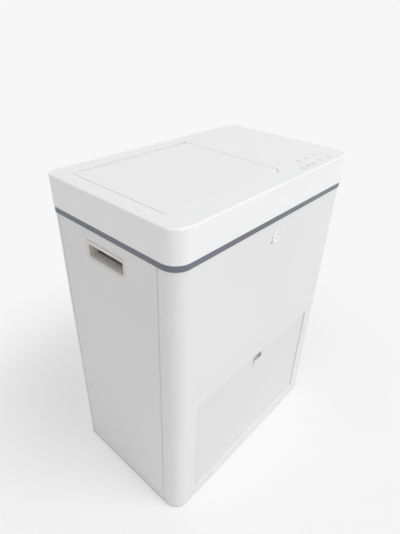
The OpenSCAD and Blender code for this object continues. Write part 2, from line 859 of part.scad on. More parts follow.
// The lid's inner sheet: a raised panel over the feed mouth, and a rib up to the lid's skin
module lid_liner() {
  rib_in = 6;
  color("lightgray") {
    translate([0, 0, lid_z0]) linear_extrude(liner_t) lid_hollow(seat_clear);
    translate([0, 0, ledge_z1]) linear_extrude(seal_h + 1) mouth_outline(-rib_in);
    difference() {
      translate([0, 0, lid_z0]) linear_extrude(lid_skin_z - lid_z0) mouth_outline(-rib_in);
      translate([0, 0, lid_z0 - 1]) linear_extrude(lid_t) mouth_outline(-rib_in - liner_t);
    }
  }
}

module lid_seal() {
  inner = (ledge_w - seal_w) / 2;
  color("darkgray") difference() {
    translate([0, 0, ledge_z1]) linear_extrude(seal_h) mouth_outline(inner + seal_w);
    translate([0, 0, ledge_z1 - 1]) linear_extrude(seal_h + 2) mouth_outline(inner);
  }
}

module lid_hinge_shaft() {
  color("silver") rod_x(well_x0 - well_wall - 8, lid_gear_x + lid_gear_t, hinge_y, hinge_z, hinge_shaft_r);
}

module hinge_bushes() {
  ends = [[well_x0 - well_wall - 8, well_x0], [well_x1, well_x1 + well_wall + 8]];
  color("goldenrod") for (end = ends) {
    difference() {
      rod_x(end[0], end[1], hinge_y, hinge_z, bush_r);
      rod_x(end[0] - 1, end[1] + 1, hinge_y, hinge_z, hinge_shaft_r + run_clear);
    }
  }
}

// A toothed sector that turns the lid. Its teeth start over the pinion and run to the rear.
module lid_sector_gear() {
  reach = lid_pitch_r + 2 * lid_module;
  start = -90 - 14;
  end = -90 + lid_open_deg + 4;
  color("whitesmoke") difference() {
    union() {
      intersection() {
        plate_x(lid_gear_x, lid_gear_t) translate([hinge_y, hinge_z])
          gear_face(lid_teeth, lid_module, -90);
        plate_x(lid_gear_x, lid_gear_t) translate([hinge_y, hinge_z])
          polygon([[0, 0], for (a = [start, (start + end) / 2, end]) 2 * reach * [cos(a), sin(a)]]);
      }
      rod_x(lid_gear_x, lid_gear_x + lid_gear_t, hinge_y, hinge_z, boss_r - 0.5);
    }
    rod_x(lid_gear_x - 1, lid_gear_x + lid_gear_t + 1, hinge_y, hinge_z, hinge_shaft_r + seat_clear / 4);
  }
}

// The lid motor's pinion, on its output shaft
module lid_pinion() {
  color("whitesmoke") {
    plate_x(lid_gear_x - 1, lid_gear_t + 2) translate([hinge_y, lid_motor_z])
      gear_face(lid_pinion_teeth, lid_module, 90 - 180 / lid_pinion_teeth);
    rod_x(lid_gear_x, lid_bracket_x + lid_bracket_t + shaft_grip, hinge_y, lid_motor_z, lid_motor_shaft_r);
  }
}

module lid_motor() {
  x = lid_bracket_x + lid_bracket_t;
  color("dimgray") difference() {
    union() {
      rod_x(x, x + lid_motor_l, hinge_y, lid_motor_z, lid_motor_r);
      rod_x(x + lid_motor_l, x + lid_motor_l + 4, hinge_y, lid_motor_z, lid_motor_r - 6);
    }
    rod_x(x - 1, x + shaft_grip + 1, hinge_y, lid_motor_z, lid_motor_shaft_r + run_clear);
  }
}

// A plate that hangs the lid's motor from the cover
module lid_motor_bracket() {
  x = lid_bracket_x;
  z0 = lid_motor_z - lid_motor_r - 2;
  difference() {
    union() {
      box([x, hinge_y - 18, z0], [x + lid_bracket_t, hinge_y + 18, cover_skin_z]);
      box([x, hinge_y - 18, cover_skin_z - lid_bracket_t],
          [x + lid_bracket_foot, hinge_y + 18, cover_skin_z]);
    }
    rod_x(x - 1, x + lid_bracket_t + 1, hinge_y, lid_motor_z, lid_motor_shaft_r + 1);
  }
}

// The magnet in the lid and the switch under the ledge that feels it
module lid_magnet() {
  color("dimgray") rod_z(lid_z0 + liner_t, lid_z0 + liner_t + 4, mouth_x1 - 30, lid_y0 + ledge_w / 2 + 3, 5);
}

module reed_switch() {
  color("darkslategray")
    box([mouth_x1 - 42, lid_y0 + 3, ledge_z0 - 8], [mouth_x1 - 18, lid_y0 + 14, ledge_z0]);
}

// Chamber

module feed_throat() {
  color("silver") difference() {
    union() {
      translate([0, 0, throat_z0]) linear_extrude(ledge_z0 - throat_z0) mouth_outline(chamber_t);
      chamber_rim(throat_z0);
    }
    translate([0, 0, throat_z0 - 1]) linear_extrude(ledge_z0 - throat_z0 + 2) mouth_outline(0);
    rod_x(mouth_x1 - 5, mouth_x1 + chamber_t + 1, duct_y, duct_z, duct_r);
  }
}

// The flat rim where throat and chamber meet
module chamber_rim(z) {
  box([chamber_x0 - chamber_t - chamber_flange, chamber_y - chamber_out_r - chamber_flange, z],
      [chamber_x1 + chamber_t + chamber_flange, chamber_y + chamber_out_r + chamber_flange, z + flange_t]);
}

// The chamber's cross-section, a round bottom with straight walls, of radius r
module trough_shape(r, top) {
  translate([chamber_y, chamber_z]) {
    intersection() {
      circle(r, $fn = 96);
      translate([-r, -r]) square([2 * r, r + 1]);
    }
    translate([-r, 0]) square([2 * r, top - chamber_z]);
  }
}

module chamber() {
  x0 = chamber_x0 - chamber_t;
  x1 = chamber_x1 + chamber_t;
  px = port_w / 2;
  py = port_d / 2;
  color("silver") difference() {
    union() {
      plate_x(x0, x1 - x0) trough_shape(chamber_out_r, chamber_top);
      chamber_rim(chamber_top);
      box([port_x - px - chamber_t, chamber_y - py - chamber_t, port_z],
          [port_x + px + chamber_t, chamber_y + py + chamber_t, chamber_z - chamber_r + 20]);
    }
    plate_x(chamber_x0, chamber_x1 - chamber_x0) trough_shape(chamber_r, chamber_top + flange_t + 1);
    box([port_x - px, chamber_y - py, port_z - 1], [port_x + px, chamber_y + py, chamber_z - chamber_r + 20]);
    rod_x(x0 - 1, x1 + 1, chamber_y, chamber_z, shaft_r + 2);
  }
}

// Two upright plates, cut round on top, that the chamber lies in
module chamber_cradles() {
  half = chamber_out_r - 6;
  top = chamber_z - chamber_out_r / 2;
  color("lightsteelblue") for (x = [chamber_x0 + 24, chamber_x1 - 30]) {
    difference() {
      union() {
        box([x, chamber_y - half, deck_z1], [x + 3, chamber_y + half, top]);
        box([x, chamber_y - half, deck_z1], [x + 18, chamber_y + half, deck_z1 + 3]);
      }
      rod_x(x - 1, x + 19, chamber_y, chamber_z, chamber_out_r + seat_clear);
    }
  }
}

// Flat heaters that wrap the chamber's underside, one on each side of the port
module heater_mats() {
  x0 = chamber_x0 + 44;
  x1 = chamber_x1 - 44;
  r = chamber_out_r + seat_clear;
  color("darkorange") for (turn = [22, 118]) {
    translate([x0, chamber_y, chamber_z]) rotate([90, 0, 90]) rotate([0, 0, 180 + turn])
      linear_extrude(x1 - x0) mat_shape(r, 2, 40);
  }
}

// A ring sector of inner radius r, thickness t and angle a
module mat_shape(r, t, a) {
  intersection() {
    difference() {
      circle(r + t, $fn = 96);
      circle(r, $fn = 96);
    }
    polygon([[0, 0], [2 * r, 0], 2 * r * [cos(a / 2), sin(a / 2)], 2 * r * [cos(a), sin(a)]]);
  }
}

module temperature_sensor() {
  y = chamber_y + chamber_out_r;
  z = chamber_z + chamber_wall_h / 2;
  color("white") {
    box([port_x - 12, y, z - 8], [port_x + 12, y + 6, z + 8]);
    rod_y(y + 5, y + 14, port_x, z, 3);
  }
}

module agitator_shaft() {
  color("silver") rod_x(shaft_x0, shaft_x1, chamber_y, chamber_z, shaft_r);
}

// Paddles stand out from the shaft in turn, each with a slanted blade at its tip
module paddles() {
  collar_r = shaft_r + 5;
  arm_r = 7;
  blade_h = 30;
  blade_t = 5;
  first = chamber_x0 + 38;
  pitch = (chamber_x1 - chamber_x0 - 76) / (paddle_count - 1);
  color("silver") for (k = [0:paddle_count - 1]) {
    translate([first + k * pitch, chamber_y, chamber_z]) rotate([k * 144, 0, 0]) difference() {
      union() {
        rod_x(-12, 12, 0, 0, collar_r);
        cylinder(r = arm_r, h = paddle_sweep_r - blade_h / 2);
        rotate([0, 0, blade_turn]) translate([-blade_w / 2, -blade_t / 2, paddle_sweep_r - blade_h - 3])
          cube([blade_w, blade_t, blade_h]);
      }
      rod_x(-13, 13, 0, 0, shaft_r + seat_clear / 4);
    }
  }
}

// The two flanged housings outside the chamber's end walls
module bearing_housings() {
  left = chamber_x0 - chamber_t;
  right = chamber_x1 + chamber_t;
  color("dimgray") {
    bearing_housing(left, -1);
    bearing_housing(right, 1);
  }
}

// A housing with its flange at x, pointing out along s
module bearing_housing(x, s) {
  reach = x + s * housing_t;
  plate = x + s * 6;
  difference() {
    union() {
      plate_x(min(x, plate), 6) translate([chamber_y, chamber_z])
        outline(-housing_w / 2, housing_w / 2, -housing_w / 2, housing_w / 2, 10, 10);
      rod_x(min(x, reach), max(x, reach), chamber_y, chamber_z, bearing_r + 5);
    }
    rod_x(x - 40, x + 40, chamber_y, chamber_z, bearing_r);
  }
}

module shaft_bearings() {
  left = chamber_x0 - chamber_t;
  right = chamber_x1 + chamber_t;
  color("lightgray") for (x = [left - housing_t + 1, right + 2]) {
    difference() {
      rod_x(x, x + housing_t - 3, chamber_y, chamber_z, bearing_r - seat_clear / 4);
      rod_x(x - 1, x + housing_t, chamber_y, chamber_z, shaft_r + run_clear);
    }
  }
}

// Lip seals on the inner face of the end walls
module shaft_seals() {
  color("dimgray") for (x = [chamber_x0, chamber_x1 - seal_ring_t]) {
    difference() {
      rod_x(x, x + seal_ring_t, chamber_y, chamber_z, shaft_r + 10);
      rod_x(x - 1, x + seal_ring_t + 1, chamber_y, chamber_z, shaft_r + run_clear);
    }
  }
}

// Discharge flap

module discharge_flap() {
  x0 = port_x - port_w / 2 - chamber_t;
  x1 = port_x + port_w / 2 + chamber_t;
  y0 = chamber_y - port_d / 2 - chamber_t;
  color("silver") difference() {
    union() {
      box([x0, y0, flap_z - flap_t / 2], [x1, flap_y, flap_z + flap_t / 2]);
      rod_x(x0 + 6, x1 - 6, flap_y, flap_z, hinge_shaft_r + 2);
    }
    rod_x(x0 - 1, x1 + 1, flap_y, flap_z, hinge_shaft_r + seat_clear / 4);
    box([x0 - 1, flap_y, flap_z - 3], [x0 + 6, flap_y + 9, flap_z + 3]);
    box([x1 - 6, flap_y, flap_z - 3], [x1 + 1, flap_y + 9, flap_z + 3]);
  }
}

module flap_shaft() {
  color("silver") rod_x(port_x - port_w / 2 - 24, port_x + port_w / 2 + 24, flap_y, flap_z, hinge_shaft_r);
}

// The geared motor that turns the flap, and the ear at the shaft's other end
module flap_motor() {
  x = port_x + port_w / 2 + 14;
  ear = port_x - port_w / 2 - 16;
  color("dimgray") difference() {
    union() {
      box([x, flap_y - 16, flap_z - 30], [x + 46, flap_y + 24, deck_z0]);
      rod_x(x + 46, x + 76, flap_y + 4, flap_z - 12, 13);
      box([ear - 6, flap_y - 12, flap_z - 10], [ear, flap_y + 12, deck_z0]);
    }
    rod_x(ear - 7, x + 12, flap_y, flap_z, hinge_shaft_r + run_clear);
  }
}

// Drive

module bulkhead() {
  half = chamber_out_r + chamber_flange;
  color("lightsteelblue") difference() {
    union() {
      box([bulkhead_x, chamber_y - half, deck_z1], [bulkhead_x + frame_t, chamber_y + half, chamber_top]);
      box([bulkhead_x - 14, chamber_y - half, deck_z1], [bulkhead_x, chamber_y + half, deck_z1 + frame_t]);
    }
    rod_x(bulkhead_x - 1, bulkhead_x + frame_t + 1, chamber_y, chamber_z, shaft_r + 6);
  }
}

module drive_gear() {
  hub_r = shaft_r + 9;
  hole_ring = (hub_r + drive_pitch_r - drive_module) / 2;
  color("whitesmoke") difference() {
    union() {
      plate_x(gear_x, drive_face) translate([chamber_y, chamber_z]) gear_face(drive_teeth, drive_module, -90);
      rod_x(gear_x - 4, gear_x + drive_face + 2, chamber_y, chamber_z, hub_r);
    }
    rod_x(gear_x - 5, gear_x + drive_face + 3, chamber_y, chamber_z, shaft_r + seat_clear / 4);
    for (k = [0:4]) {
      rod_x(gear_x - 1, gear_x + drive_face + 1, chamber_y + hole_ring * cos(72 * k + 18),
            chamber_z + hole_ring * sin(72 * k + 18), 14);
    }
  }
}

// The drive motor's pinion, on its output shaft
module drive_pinion() {
  color("silver") {
    plate_x(gear_x - 2, drive_face + 4) translate([chamber_y, drive_axis_z])
      gear_face(drive_pinion_teeth, drive_module, 90 - 180 / drive_pinion_teeth);
    rod_x(gear_x - 4, motor_plate_x + motor_plate_t + shaft_grip, chamber_y, drive_axis_z, motor_shaft_r);
  }
}

// A worm gearbox with its motor behind it
module drive_motor() {
  x = motor_plate_x + motor_plate_t;
  half = gearbox_w / 2;
  color("dimgray") difference() {
    union() {
      plate_x(x, gearbox_t) translate([chamber_y, drive_axis_z]) outline(-half, half, -half, half, 8, 8);
      for (k = [0:3]) {
        plate_x(x + 8 + k * 9, 2.5) translate([chamber_y, drive_axis_z])
          outline(-half - 3, half + 3, -half - 3, half + 3, 8, 8);
      }
      rod_x(x + gearbox_t, x + gearbox_t + motor_can_l, chamber_y, drive_axis_z, motor_can_r);
      rod_x(x + gearbox_t + motor_can_l, x + gearbox_t + motor_can_l + 6, chamber_y, drive_axis_z, 12);
    }
    rod_x(x - 1, x + shaft_grip + 2, chamber_y, drive_axis_z, motor_shaft_r + run_clear);
  }
}

// The foot that carries the drive motor on the deck
module drive_motor_bracket() {
  x = motor_plate_x;
  half = gearbox_w / 2 + 8;
  foot_l = 90;
  difference() {
    union() {
      box([x, chamber_y - half, deck_z1], [x + motor_plate_t, chamber_y + half, drive_axis_z + half]);
      box([x, chamber_y - half, deck_z1], [x + foot_l, chamber_y + half, deck_z1 + motor_plate_t]);
    }
    rod_x(x - 1, x + motor_plate_t + 1, chamber_y, drive_axis_z, motor_shaft_r + 3);
  }
}

module motor_brackets() {
  color("lightsteelblue") {
    drive_motor_bracket();
    lid_motor_bracket();
  }
}

// Exhaust air

module exhaust_duct() {
  x0 = mouth_x1 + chamber_t;
  color("dimgray") difference() {
    union() {
      rod_x(x0, fan_x, duct_y, duct_z, duct_r + duct_t);
      rod_x(x0, x0 + 3, duct_y, duct_z, duct_r + 10);
      rod_x(fan_x - 3, fan_x, duct_y, duct_z, fan_bore_r);
    }
    rod_x(x0 - 1, fan_x + 1, duct_y, duct_z, duct_r);
  }
}

module fan_housing() {
  half = fan_w / 2;
  color("dimgray") {
    difference() {
      plate_x(fan_x, fan_t) translate([duct_y, duct_z]) outline(-half, half, -half, half, 5, 5);
      rod_x(fan_x - 1, fan_x + fan_t + 1, duct_y, duct_z, fan_bore_r);
      for (y = [-1, 1], z = [-1, 1]) {
        rod_x(fan_x - 1, fan_x + fan_t + 1, duct_y + y * (half - 6), duct_z + z * (half - 6), 2.2);
      }
    }
    difference() {
      rod_x(fan_x + fan_t - fan_hub_t, fan_x + fan_t, duct_y, duct_z, 16);
      rod_x(fan_x, fan_x + fan_t - 1, duct_y, duct_z, fan_pin_r + run_clear);
    }
    for (k = [0:3]) {
      translate([0, duct_y, duct_z]) rotate([90 * k + 45, 0, 0])
        box([fan_x + fan_t - 4, -2.5, 12], [fan_x + fan_t, 2.5, fan_bore_r + 1]);
    }
  }
}

module fan_rotor() {
  x0 = fan_x + 3;
  x1 = fan_x + fan_t - fan_hub_t - 0.3;
  color("black") translate([0, duct_y, duct_z]) union() {
    rod_x(x0, x1, 0, 0, 15);
    rod_x(x1 - 1, fan_x + fan_t - 1.5, 0, 0, fan_pin_r);
    for (k = [0:fan_blades - 1]) {
      rotate([360 / fan_blades * k, 0, 0]) translate([(x0 + x1) / 2, 0, 8]) rotate([0, 0, 38])
        translate([-7, -1, 0]) cube([14, 2, fan_bore_r - 8 - 3]);
    }
  }
}

module filter_box() {
  color("darkgray") difference() {
    box([filter_x0, filter_y0, filter_z0], [filter_x1, filter_y1, filter_z1]);
    box([filter_x0 + filter_wall, filter_y0 + filter_wall, filter_z0 + filter_wall],
        [filter_x1 - filter_wall, filter_y1 + 1, filter_z1 - filter_wall]);
    rod_x(filter_x0 - 1, filter_x0 + filter_wall + 1, duct_y, duct_z, fan_bore_r);
  }
}

// A cartridge of active carbon in a grid
module carbon_filter() {
  x0 = filter_x0 + filter_wall;
  x1 = filter_x1 - filter_wall;
  z0 = filter_z0 + filter_wall;
  z1 = filter_z1 - filter_wall;
  y1 = filter_y1 - 8;
  y0 = y1 - 36;
  rim = 8;
  cells = 8;
  pitch = (x1 - x0 - 2 * rim) / cells;
  color("darkslategray") difference() {
    box([x0, y0, z0], [x1, y1, z1]);
    for (k = [0:cells - 1]) {
      box([x0 + rim + (k + 0.2) * pitch, y1 - 6, z0 + rim], [x0 + rim + (k + 0.8) * pitch, y1 + 1, z1 - rim]);
    }
  }
}

// Electrics

module power_supply() {
  z1 = deck_z1 + psu_h;
  rim = 14;
  slots = 7;
  pitch = (psu_x1 - psu_x0 - 2 * rim) / slots;
  color("silver") difference() {
    box([psu_x0, psu_y0, deck_z1], [psu_x1, psu_y1, z1]);
    for (k = [0:slots - 1]) {
      box([psu_x0 + rim + (k + 0.3) * pitch, psu_y0 + rim, z1 - 1.5],
          [psu_x0 + rim + (k + 0.7) * pitch, psu_y1 - rim, z1 + 1]);
    }
  }
}

// The main board on its upright bracket, with relays, capacitors and a heat sink
module control_board() {
  face = board_y + 8;
  sink_x = board_x1 - 44;
  sink_z = (board_z0 + board_z1) / 2 - 5;
  sink_w = 29.5;
  sink_h = 50;
  color("seagreen") {
    box([board_x0 - 4, board_y, deck_z1], [board_x1 + 4, board_y + 2, board_z1 + 4]);
    box([board_x0 - 4, board_y, deck_z1], [board_x1 + 4, board_y + 20, deck_z1 + 2]);
    for (x = [board_x0 + 8, board_x1 - 8], z = [board_z0 + 8, board_z1 - 8]) {
      rod_y(board_y + 1, face + 0.5, x, z, 3.5);
    }
    box([board_x0, face, board_z0], [board_x1, face + board_t, board_z1]);
    for (k = [0:2]) {
      box([board_x0 + 14 + k * 28, face, board_z0 + 14], [board_x0 + 34 + k * 28, face + 17, board_z0 + 30]);
    }
    for (k = [0:3]) {
      rod_y(face, face + 22, board_x0 + 20 + k * 16, board_z0 + 48, 6);
    }
    for (k = [0:7]) {
      box([sink_x + k * 4, face, sink_z], [sink_x + k * 4 + 1.5, face + 24, sink_z + sink_h]);
    }
    box([sink_x, face, sink_z], [sink_x + sink_w, face + 4, sink_z + sink_h]);
  }
}

// The board under the cover that feels a finger through it, with its chip below
module touch_sensor() {
  z = cover_skin_z - board_t;
  color("seagreen") {
    box([touch_x0, touch_y0, z], [touch_x1, touch_y0 + touch_d, cover_skin_z]);
    box([touch_x0 + 20, touch_y0 + 11, z - 4], [touch_x0 + 50, touch_y0 + 31, z + 0.5]);
  }
}

module button_bezel() {
  color("white") difference() {
    union() {
      rod_y(-panel_y - bezel_t, -panel_y, button_x, button_z, bezel_r);
      rod_y(-panel_y - 1, -panel_y + 34, button_x, button_z, button_r + 2);
    }
    rod_y(-panel_y - bezel_t - 1, -panel_y + 14, button_x, button_z, button_r + seat_clear);
  }
}

// The push button: a short piston with a rounded rim
module start_button() {
  depth = button_proud + 14 - button_travel - 0.5;
  soft = 1.2;
  color("whitesmoke") translate([button_x, -panel_y - button_proud + depth, button_z]) rotate([90, 0, 0])
    rotate_extrude() {
      square([button_r, depth - soft]);
      square([button_r - soft, depth]);
      translate([button_r - soft, depth - soft]) circle(soft);
    }
}

// The light pipe of the small lamp beside the button
module status_lamp() {
  color("whitesmoke") {
    rod_y(-panel_y - 0.4, -panel_y + 8, lamp_x, button_z - lamp_drop, lamp_r);
    rod_y(-panel_y + panel_t, -panel_y + 8, lamp_x, button_z - lamp_drop, lamp_r + 1);
  }
}

module power_inlet() {
  w = inlet_w / 2;
  h = inlet_h / 2;
  color("black") difference() {
    union() {
      box([inlet_x - w - 3, panel_y, inlet_z - h - 3], [inlet_x + w + 3, panel_y + 1.5, inlet_z + h + 3]);
      box([inlet_x - w, panel_y - 28, inlet_z - h], [inlet_x + w, panel_y + 1, inlet_z + h]);
    }
    plate_y(panel_y - 14, 20) translate([inlet_x - 11, inlet_z]) inlet_mouth();
    box([rocker_x - rocker_w / 2 - 0.5, panel_y - 12, inlet_z - rocker_h / 2 - 0.6],
        [rocker_x + rocker_w / 2 + 0.5, panel_y + 3, inlet_z + rocker_h / 2 + 0.6]);
    rod_x(rocker_x - rocker_w / 2 - 2, rocker_x + rocker_w / 2 + 2, panel_y - rocker_pivot, inlet_z,
          rocker_pin_r + run_clear);
  }
}

// The mouth of the mains inlet, a rectangle with two cut corners
module inlet_mouth() {
  polygon([[-12, -8.5], [12, -8.5], [12, 4], [7.5, 8.5], [-7.5, 8.5], [-12, 4]]);
}

// The mains switch rocks about a pin across its middle; its face is a shallow V.
// It rests with its upper half pressed in.
module power_rocker() {
  h = rocker_h / 2;
  p = rocker_pivot;
  color("darkred") translate([rocker_x, panel_y - p, inlet_z]) rotate([rocker_tilt, 0, 0]) {
    plate_x(-rocker_w / 2, rocker_w)
      polygon([[-2, -h + 2], [-2, h - 2], [p - 3, h - 0.6], [p + 1.2, h - 0.8],
               [p - 0.6, 0], [p + 1.2, -h + 0.8], [p - 3, -h + 0.6]]);
    rod_x(-rocker_w / 2 - 1.8, rocker_w / 2 + 1.8, 0, 0, rocker_pin_r);
  }
}

// Drawer

// A shell with a pull: a shallow scoop open to the upper edge, and before its lower part a proud
// cup, behind whose rim fingertips hook from above
module drawer_front() {
  skin_y = door_y + door_skin_t;
  pull_x = pull_w / 2;
  cup_z1 = door_z1 - pull_h;
  cup_z0 = cup_z1 - cup_h;
  cup_y = -panel_y - pull_proud;
  scoop_y = door_y + pull_depth - scoop_r;
  color("white") {
    difference() {
      union() {
        difference() {
          plate_y(door_y, door_back_y - door_y) door_shape(0, door_r);
          plate_y(skin_y, door_back_y - skin_y + 1) door_shape(-door_skin_t, door_r - door_skin_t);
        }
        box([-pull_x - 2, door_y + 1, cup_z0], [pull_x + 2, door_y + pull_depth + 2, door_z1 - 1]);
      }
      intersection() {
        rod_x(-pull_x, pull_x, scoop_y, cup_z1 + 3, scoop_r);
        box([-pull_w, -half_d, cup_z0 + pull_t], [pull_w, 0, body_h]);
      }
    }
    difference() {
      plate_y(cup_y, door_y + 1 - cup_y) outline(-pull_x, pull_x, cup_z0, cup_z1, 4, 1);
      plate_y(cup_y + pull_t, 2 * pull_depth)
        outline(-pull_x + pull_t, pull_x - pull_t, cup_z0 + pull_t, cup_z1 + 5, 4 - pull_t, 1);
    }
  }
}

module drawer_liner() {
  color("lightgray") plate_y(door_back_y, liner_plate_t) door_shape(-door_skin_t / 4, door_r);
}

// The bin hangs between its slides. It has a lip all round, a grip at the rear and ribs there.
module compost_bin() {
  grip_w = 110;
  grip_d = 14;
  rib_t = 2.5;
  rib_d = 4;
  color("dimgray") {
    difference() {
      union() {
        bin_block(0, bin_z, bin_z1);
        bin_block(bin_lip, bin_z1 - bin_lip, bin_z1);
      }
      bin_block(-bin_wall, bin_z + bin_wall, bin_z1 + 1);
    }
    box([-grip_w / 2, bin_y1 - 1, bin_z1 - bin_wall], [grip_w / 2, bin_y1 + grip_d, bin_z1]);
    box([-grip_w / 2, bin_y1 + grip_d - bin_wall, bin_z1 - grip_d], [grip_w / 2, bin_y1 + grip_d, bin_z1]);
    for (k = [-2:2]) {
      box([k * bin_x / 3 - rib_t / 2, bin_y1 - 1, bin_z + 20],
          [k * bin_x / 3 + rib_t / 2, bin_y1 + rib_d, bin_z1 - 1]);
    }
  }
}

// A slice of the bin's outline, grown by out at the sides and the rear
module bin_block(out, z0, z1) {
  y0 = bin_y0 - min(out, 0);
  translate([0, 0, z0]) linear_extrude(z1 - z0)
    outline(-bin_x - out, bin_x + out, y0, bin_y1 + out, 8, 24);
}

// A channel of sheet, h high and flange deep, in the X-Z plane with its web at x
module channel(s, x, h, flange) {
  z0 = slide_z - h / 2;
  z1 = slide_z + h / 2;
  outer = x + slide_sheet;
  reach = x - flange;
  box([min(s * x, s * outer), slide_y0, z0], [max(s * x, s * outer), slide_y1, z1]);
  for (z = [z0, z1 - slide_sheet]) {
    box([min(s * reach, s * outer), slide_y0, z], [max(s * reach, s * outer), slide_y1, z + slide_sheet]);
  }
}

// The outer members, fixed to the bay's plates
module drawer_slides_outer() {
  color("silver") for (s = [-1, 1]) {
    channel(s, bin_x + 2 * slide_step, slide_h, slide_step);
  }
}

// The middle members, which travel half as far as the drawer
module drawer_slides_middle() {
  color("silver") for (s = [-1, 1]) {
    channel(s, bin_x + slide_step, slide_h - 2 * (slide_sheet + slide_play), slide_step - 0.4);
  }
}

// The inner members, fixed to the bin
module drawer_slides_inner() {
  color("silver") for (s = [-1, 1]) {
    channel(s, bin_x, slide_h - 4 * (slide_sheet + slide_play), 0);
  }
}

base_pan();
feet();
front_panel();
left_side_panel();
right_side_panel();
rear_panel();
trim_band();
top_cover();
carrying_handles();
frame_posts();
top_frame();
drawer_bay_plates();
mid_deck();
lid();
lid_liner();
lid_seal();
lid_hinge_shaft();
hinge_bushes();
lid_sector_gear();
lid_pinion();
lid_motor();
motor_brackets();
lid_magnet();
reed_switch();
feed_throat();
chamber();
chamber_cradles();
heater_mats();
temperature_sensor();
agitator_shaft();
paddles();
bearing_housings();
shaft_bearings();
shaft_seals();
bulkhead();
drive_gear();
drive_pinion();
drive_motor();
discharge_flap();
flap_shaft();
flap_motor();
exhaust_duct();
fan_housing();
fan_rotor();
filter_box();
carbon_filter();
power_supply();
control_board();
touch_sensor();
start_button();
status_lamp();
button_bezel();
power_inlet();
power_rocker();
drawer_front();
drawer_liner();
compost_bin();
drawer_slides_outer();
drawer_slides_middle();
drawer_slides_inner();
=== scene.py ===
# %% [markdown]
# # Dressing an electric food waste composter
# The machine comes from CAD as a fixed frame: every piece already has its real size and place, and
# its moving pieces ride on named bodies. Blender's part is the surface. Pressed and moulded shells
# get their small edge radii, and every piece gets the finish that its real process leaves on it.

# %% Start: load the frame and keep its box
import json
import math

import bmesh
import bpy
import numpy as np
from mathutils import Matrix, Vector


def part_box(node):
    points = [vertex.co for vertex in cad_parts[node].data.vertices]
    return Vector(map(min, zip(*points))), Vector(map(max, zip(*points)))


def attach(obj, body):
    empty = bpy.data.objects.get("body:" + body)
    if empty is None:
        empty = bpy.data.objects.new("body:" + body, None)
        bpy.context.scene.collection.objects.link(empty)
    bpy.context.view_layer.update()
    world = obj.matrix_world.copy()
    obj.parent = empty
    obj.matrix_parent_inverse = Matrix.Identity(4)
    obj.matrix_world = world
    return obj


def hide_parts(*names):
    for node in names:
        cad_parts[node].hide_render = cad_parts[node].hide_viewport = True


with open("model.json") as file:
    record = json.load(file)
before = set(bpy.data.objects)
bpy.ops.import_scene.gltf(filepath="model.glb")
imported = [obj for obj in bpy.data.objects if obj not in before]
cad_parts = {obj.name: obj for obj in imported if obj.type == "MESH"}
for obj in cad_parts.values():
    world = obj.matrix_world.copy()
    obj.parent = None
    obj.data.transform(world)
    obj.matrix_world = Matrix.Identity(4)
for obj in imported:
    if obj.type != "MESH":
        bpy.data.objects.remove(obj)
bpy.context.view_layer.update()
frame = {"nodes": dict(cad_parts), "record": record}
MM = 0.001

# %% [markdown]
# ## Which body carries which node
# A new piece has to ride on the same body as the piece it belongs to, or it would stay behind when
# the lid opens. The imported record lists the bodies, so a small table is turned round once.

# %% Node to body
BODY = {
    node: body
    for body, nodes in frame["record"]["behaviour"]["bodies"].items()
    for node in nodes
}
print("bodies:", sorted(set(BODY.values())))

# %% [markdown]
# ## One function for nodes, one for colour
# A shader is a small network. Instead of a helper for every kind of node, one function adds any
# node with its settings and its sockets: a socket gets a number or the output of another node.
# Colours are written as sRGB hex values, the way a colour chart gives them, and made linear once.


# %% Colour and node helpers
def linear(hex_colour):
    """sRGB to linear light: a channel c above 0.04045 becomes ((c + 0.055) / 1.055) ** 2.4."""
    c = np.array([int(hex_colour[i : i + 2], 16) / 255 for i in (1, 3, 5)])
    light = np.where(c > 0.04045, ((c + 0.055) / 1.055) ** 2.4, c / 12.92)
    return (*light.tolist(), 1.0)


def add(tree, kind, settings=None, sockets=None):
    """Adds a node of one kind. Settings are properties, sockets are inputs by name or number."""
    node = tree.nodes.new(kind)
    for name, value in (settings or {}).items():
        setattr(node, name, value)
    for name, value in (sockets or {}).items():
        if isinstance(value, bpy.types.NodeSocket):
            tree.links.new(value, node.inputs[name])
        else:
            node.inputs[name].default_value = value
    return node


print("white is", [round(v, 3) for v in linear("#ffffff")[:3]])

# %% [markdown]
# ## Every finish starts from the same three nodes
# A material output, a Principled shader and the object's own coordinates. Because each object sits
# at the origin unscaled, Object coordinates are metres in the machine's frame, so a pattern of 1 mm
# is one thousandth, and it never slides when a piece moves with its body.
#
# Noise stays mostly between 0.3 and 0.7, so that span is stretched where a pattern should show. The
# gloss of mouldings follows the whole span, because a cut-off would draw lines on a polished face.

# %% A bare finish, and the patterns that go on it
PATTERN_SPAN, WHOLE_SPAN = (0.3, 0.7), (0.0, 1.0)
TONE_MM, WORN_MM = 250, 120


def start_finish(name, colour, roughness, metallic=0.0, ior=1.5):
    """A named material: returns the material, its tree, the shader and the coordinates."""
    material = bpy.data.materials.new(name)
    material.use_nodes = True
    tree = material.node_tree
    tree.nodes.clear()
    shader = add(
        tree,
        "ShaderNodeBsdfPrincipled",
        sockets={
            "Base Color": linear(colour),
            "Roughness": roughness,
            "Metallic": metallic,
            "IOR": ior,
        },
    )
    output = add(tree, "ShaderNodeOutputMaterial", sockets={"Surface": shader.outputs["BSDF"]})
    output.location = (300, 0)
    material.diffuse_color = linear(colour)
    place = add(tree, "ShaderNodeTexCoord").outputs["Object"]
    return material, tree, shader, place


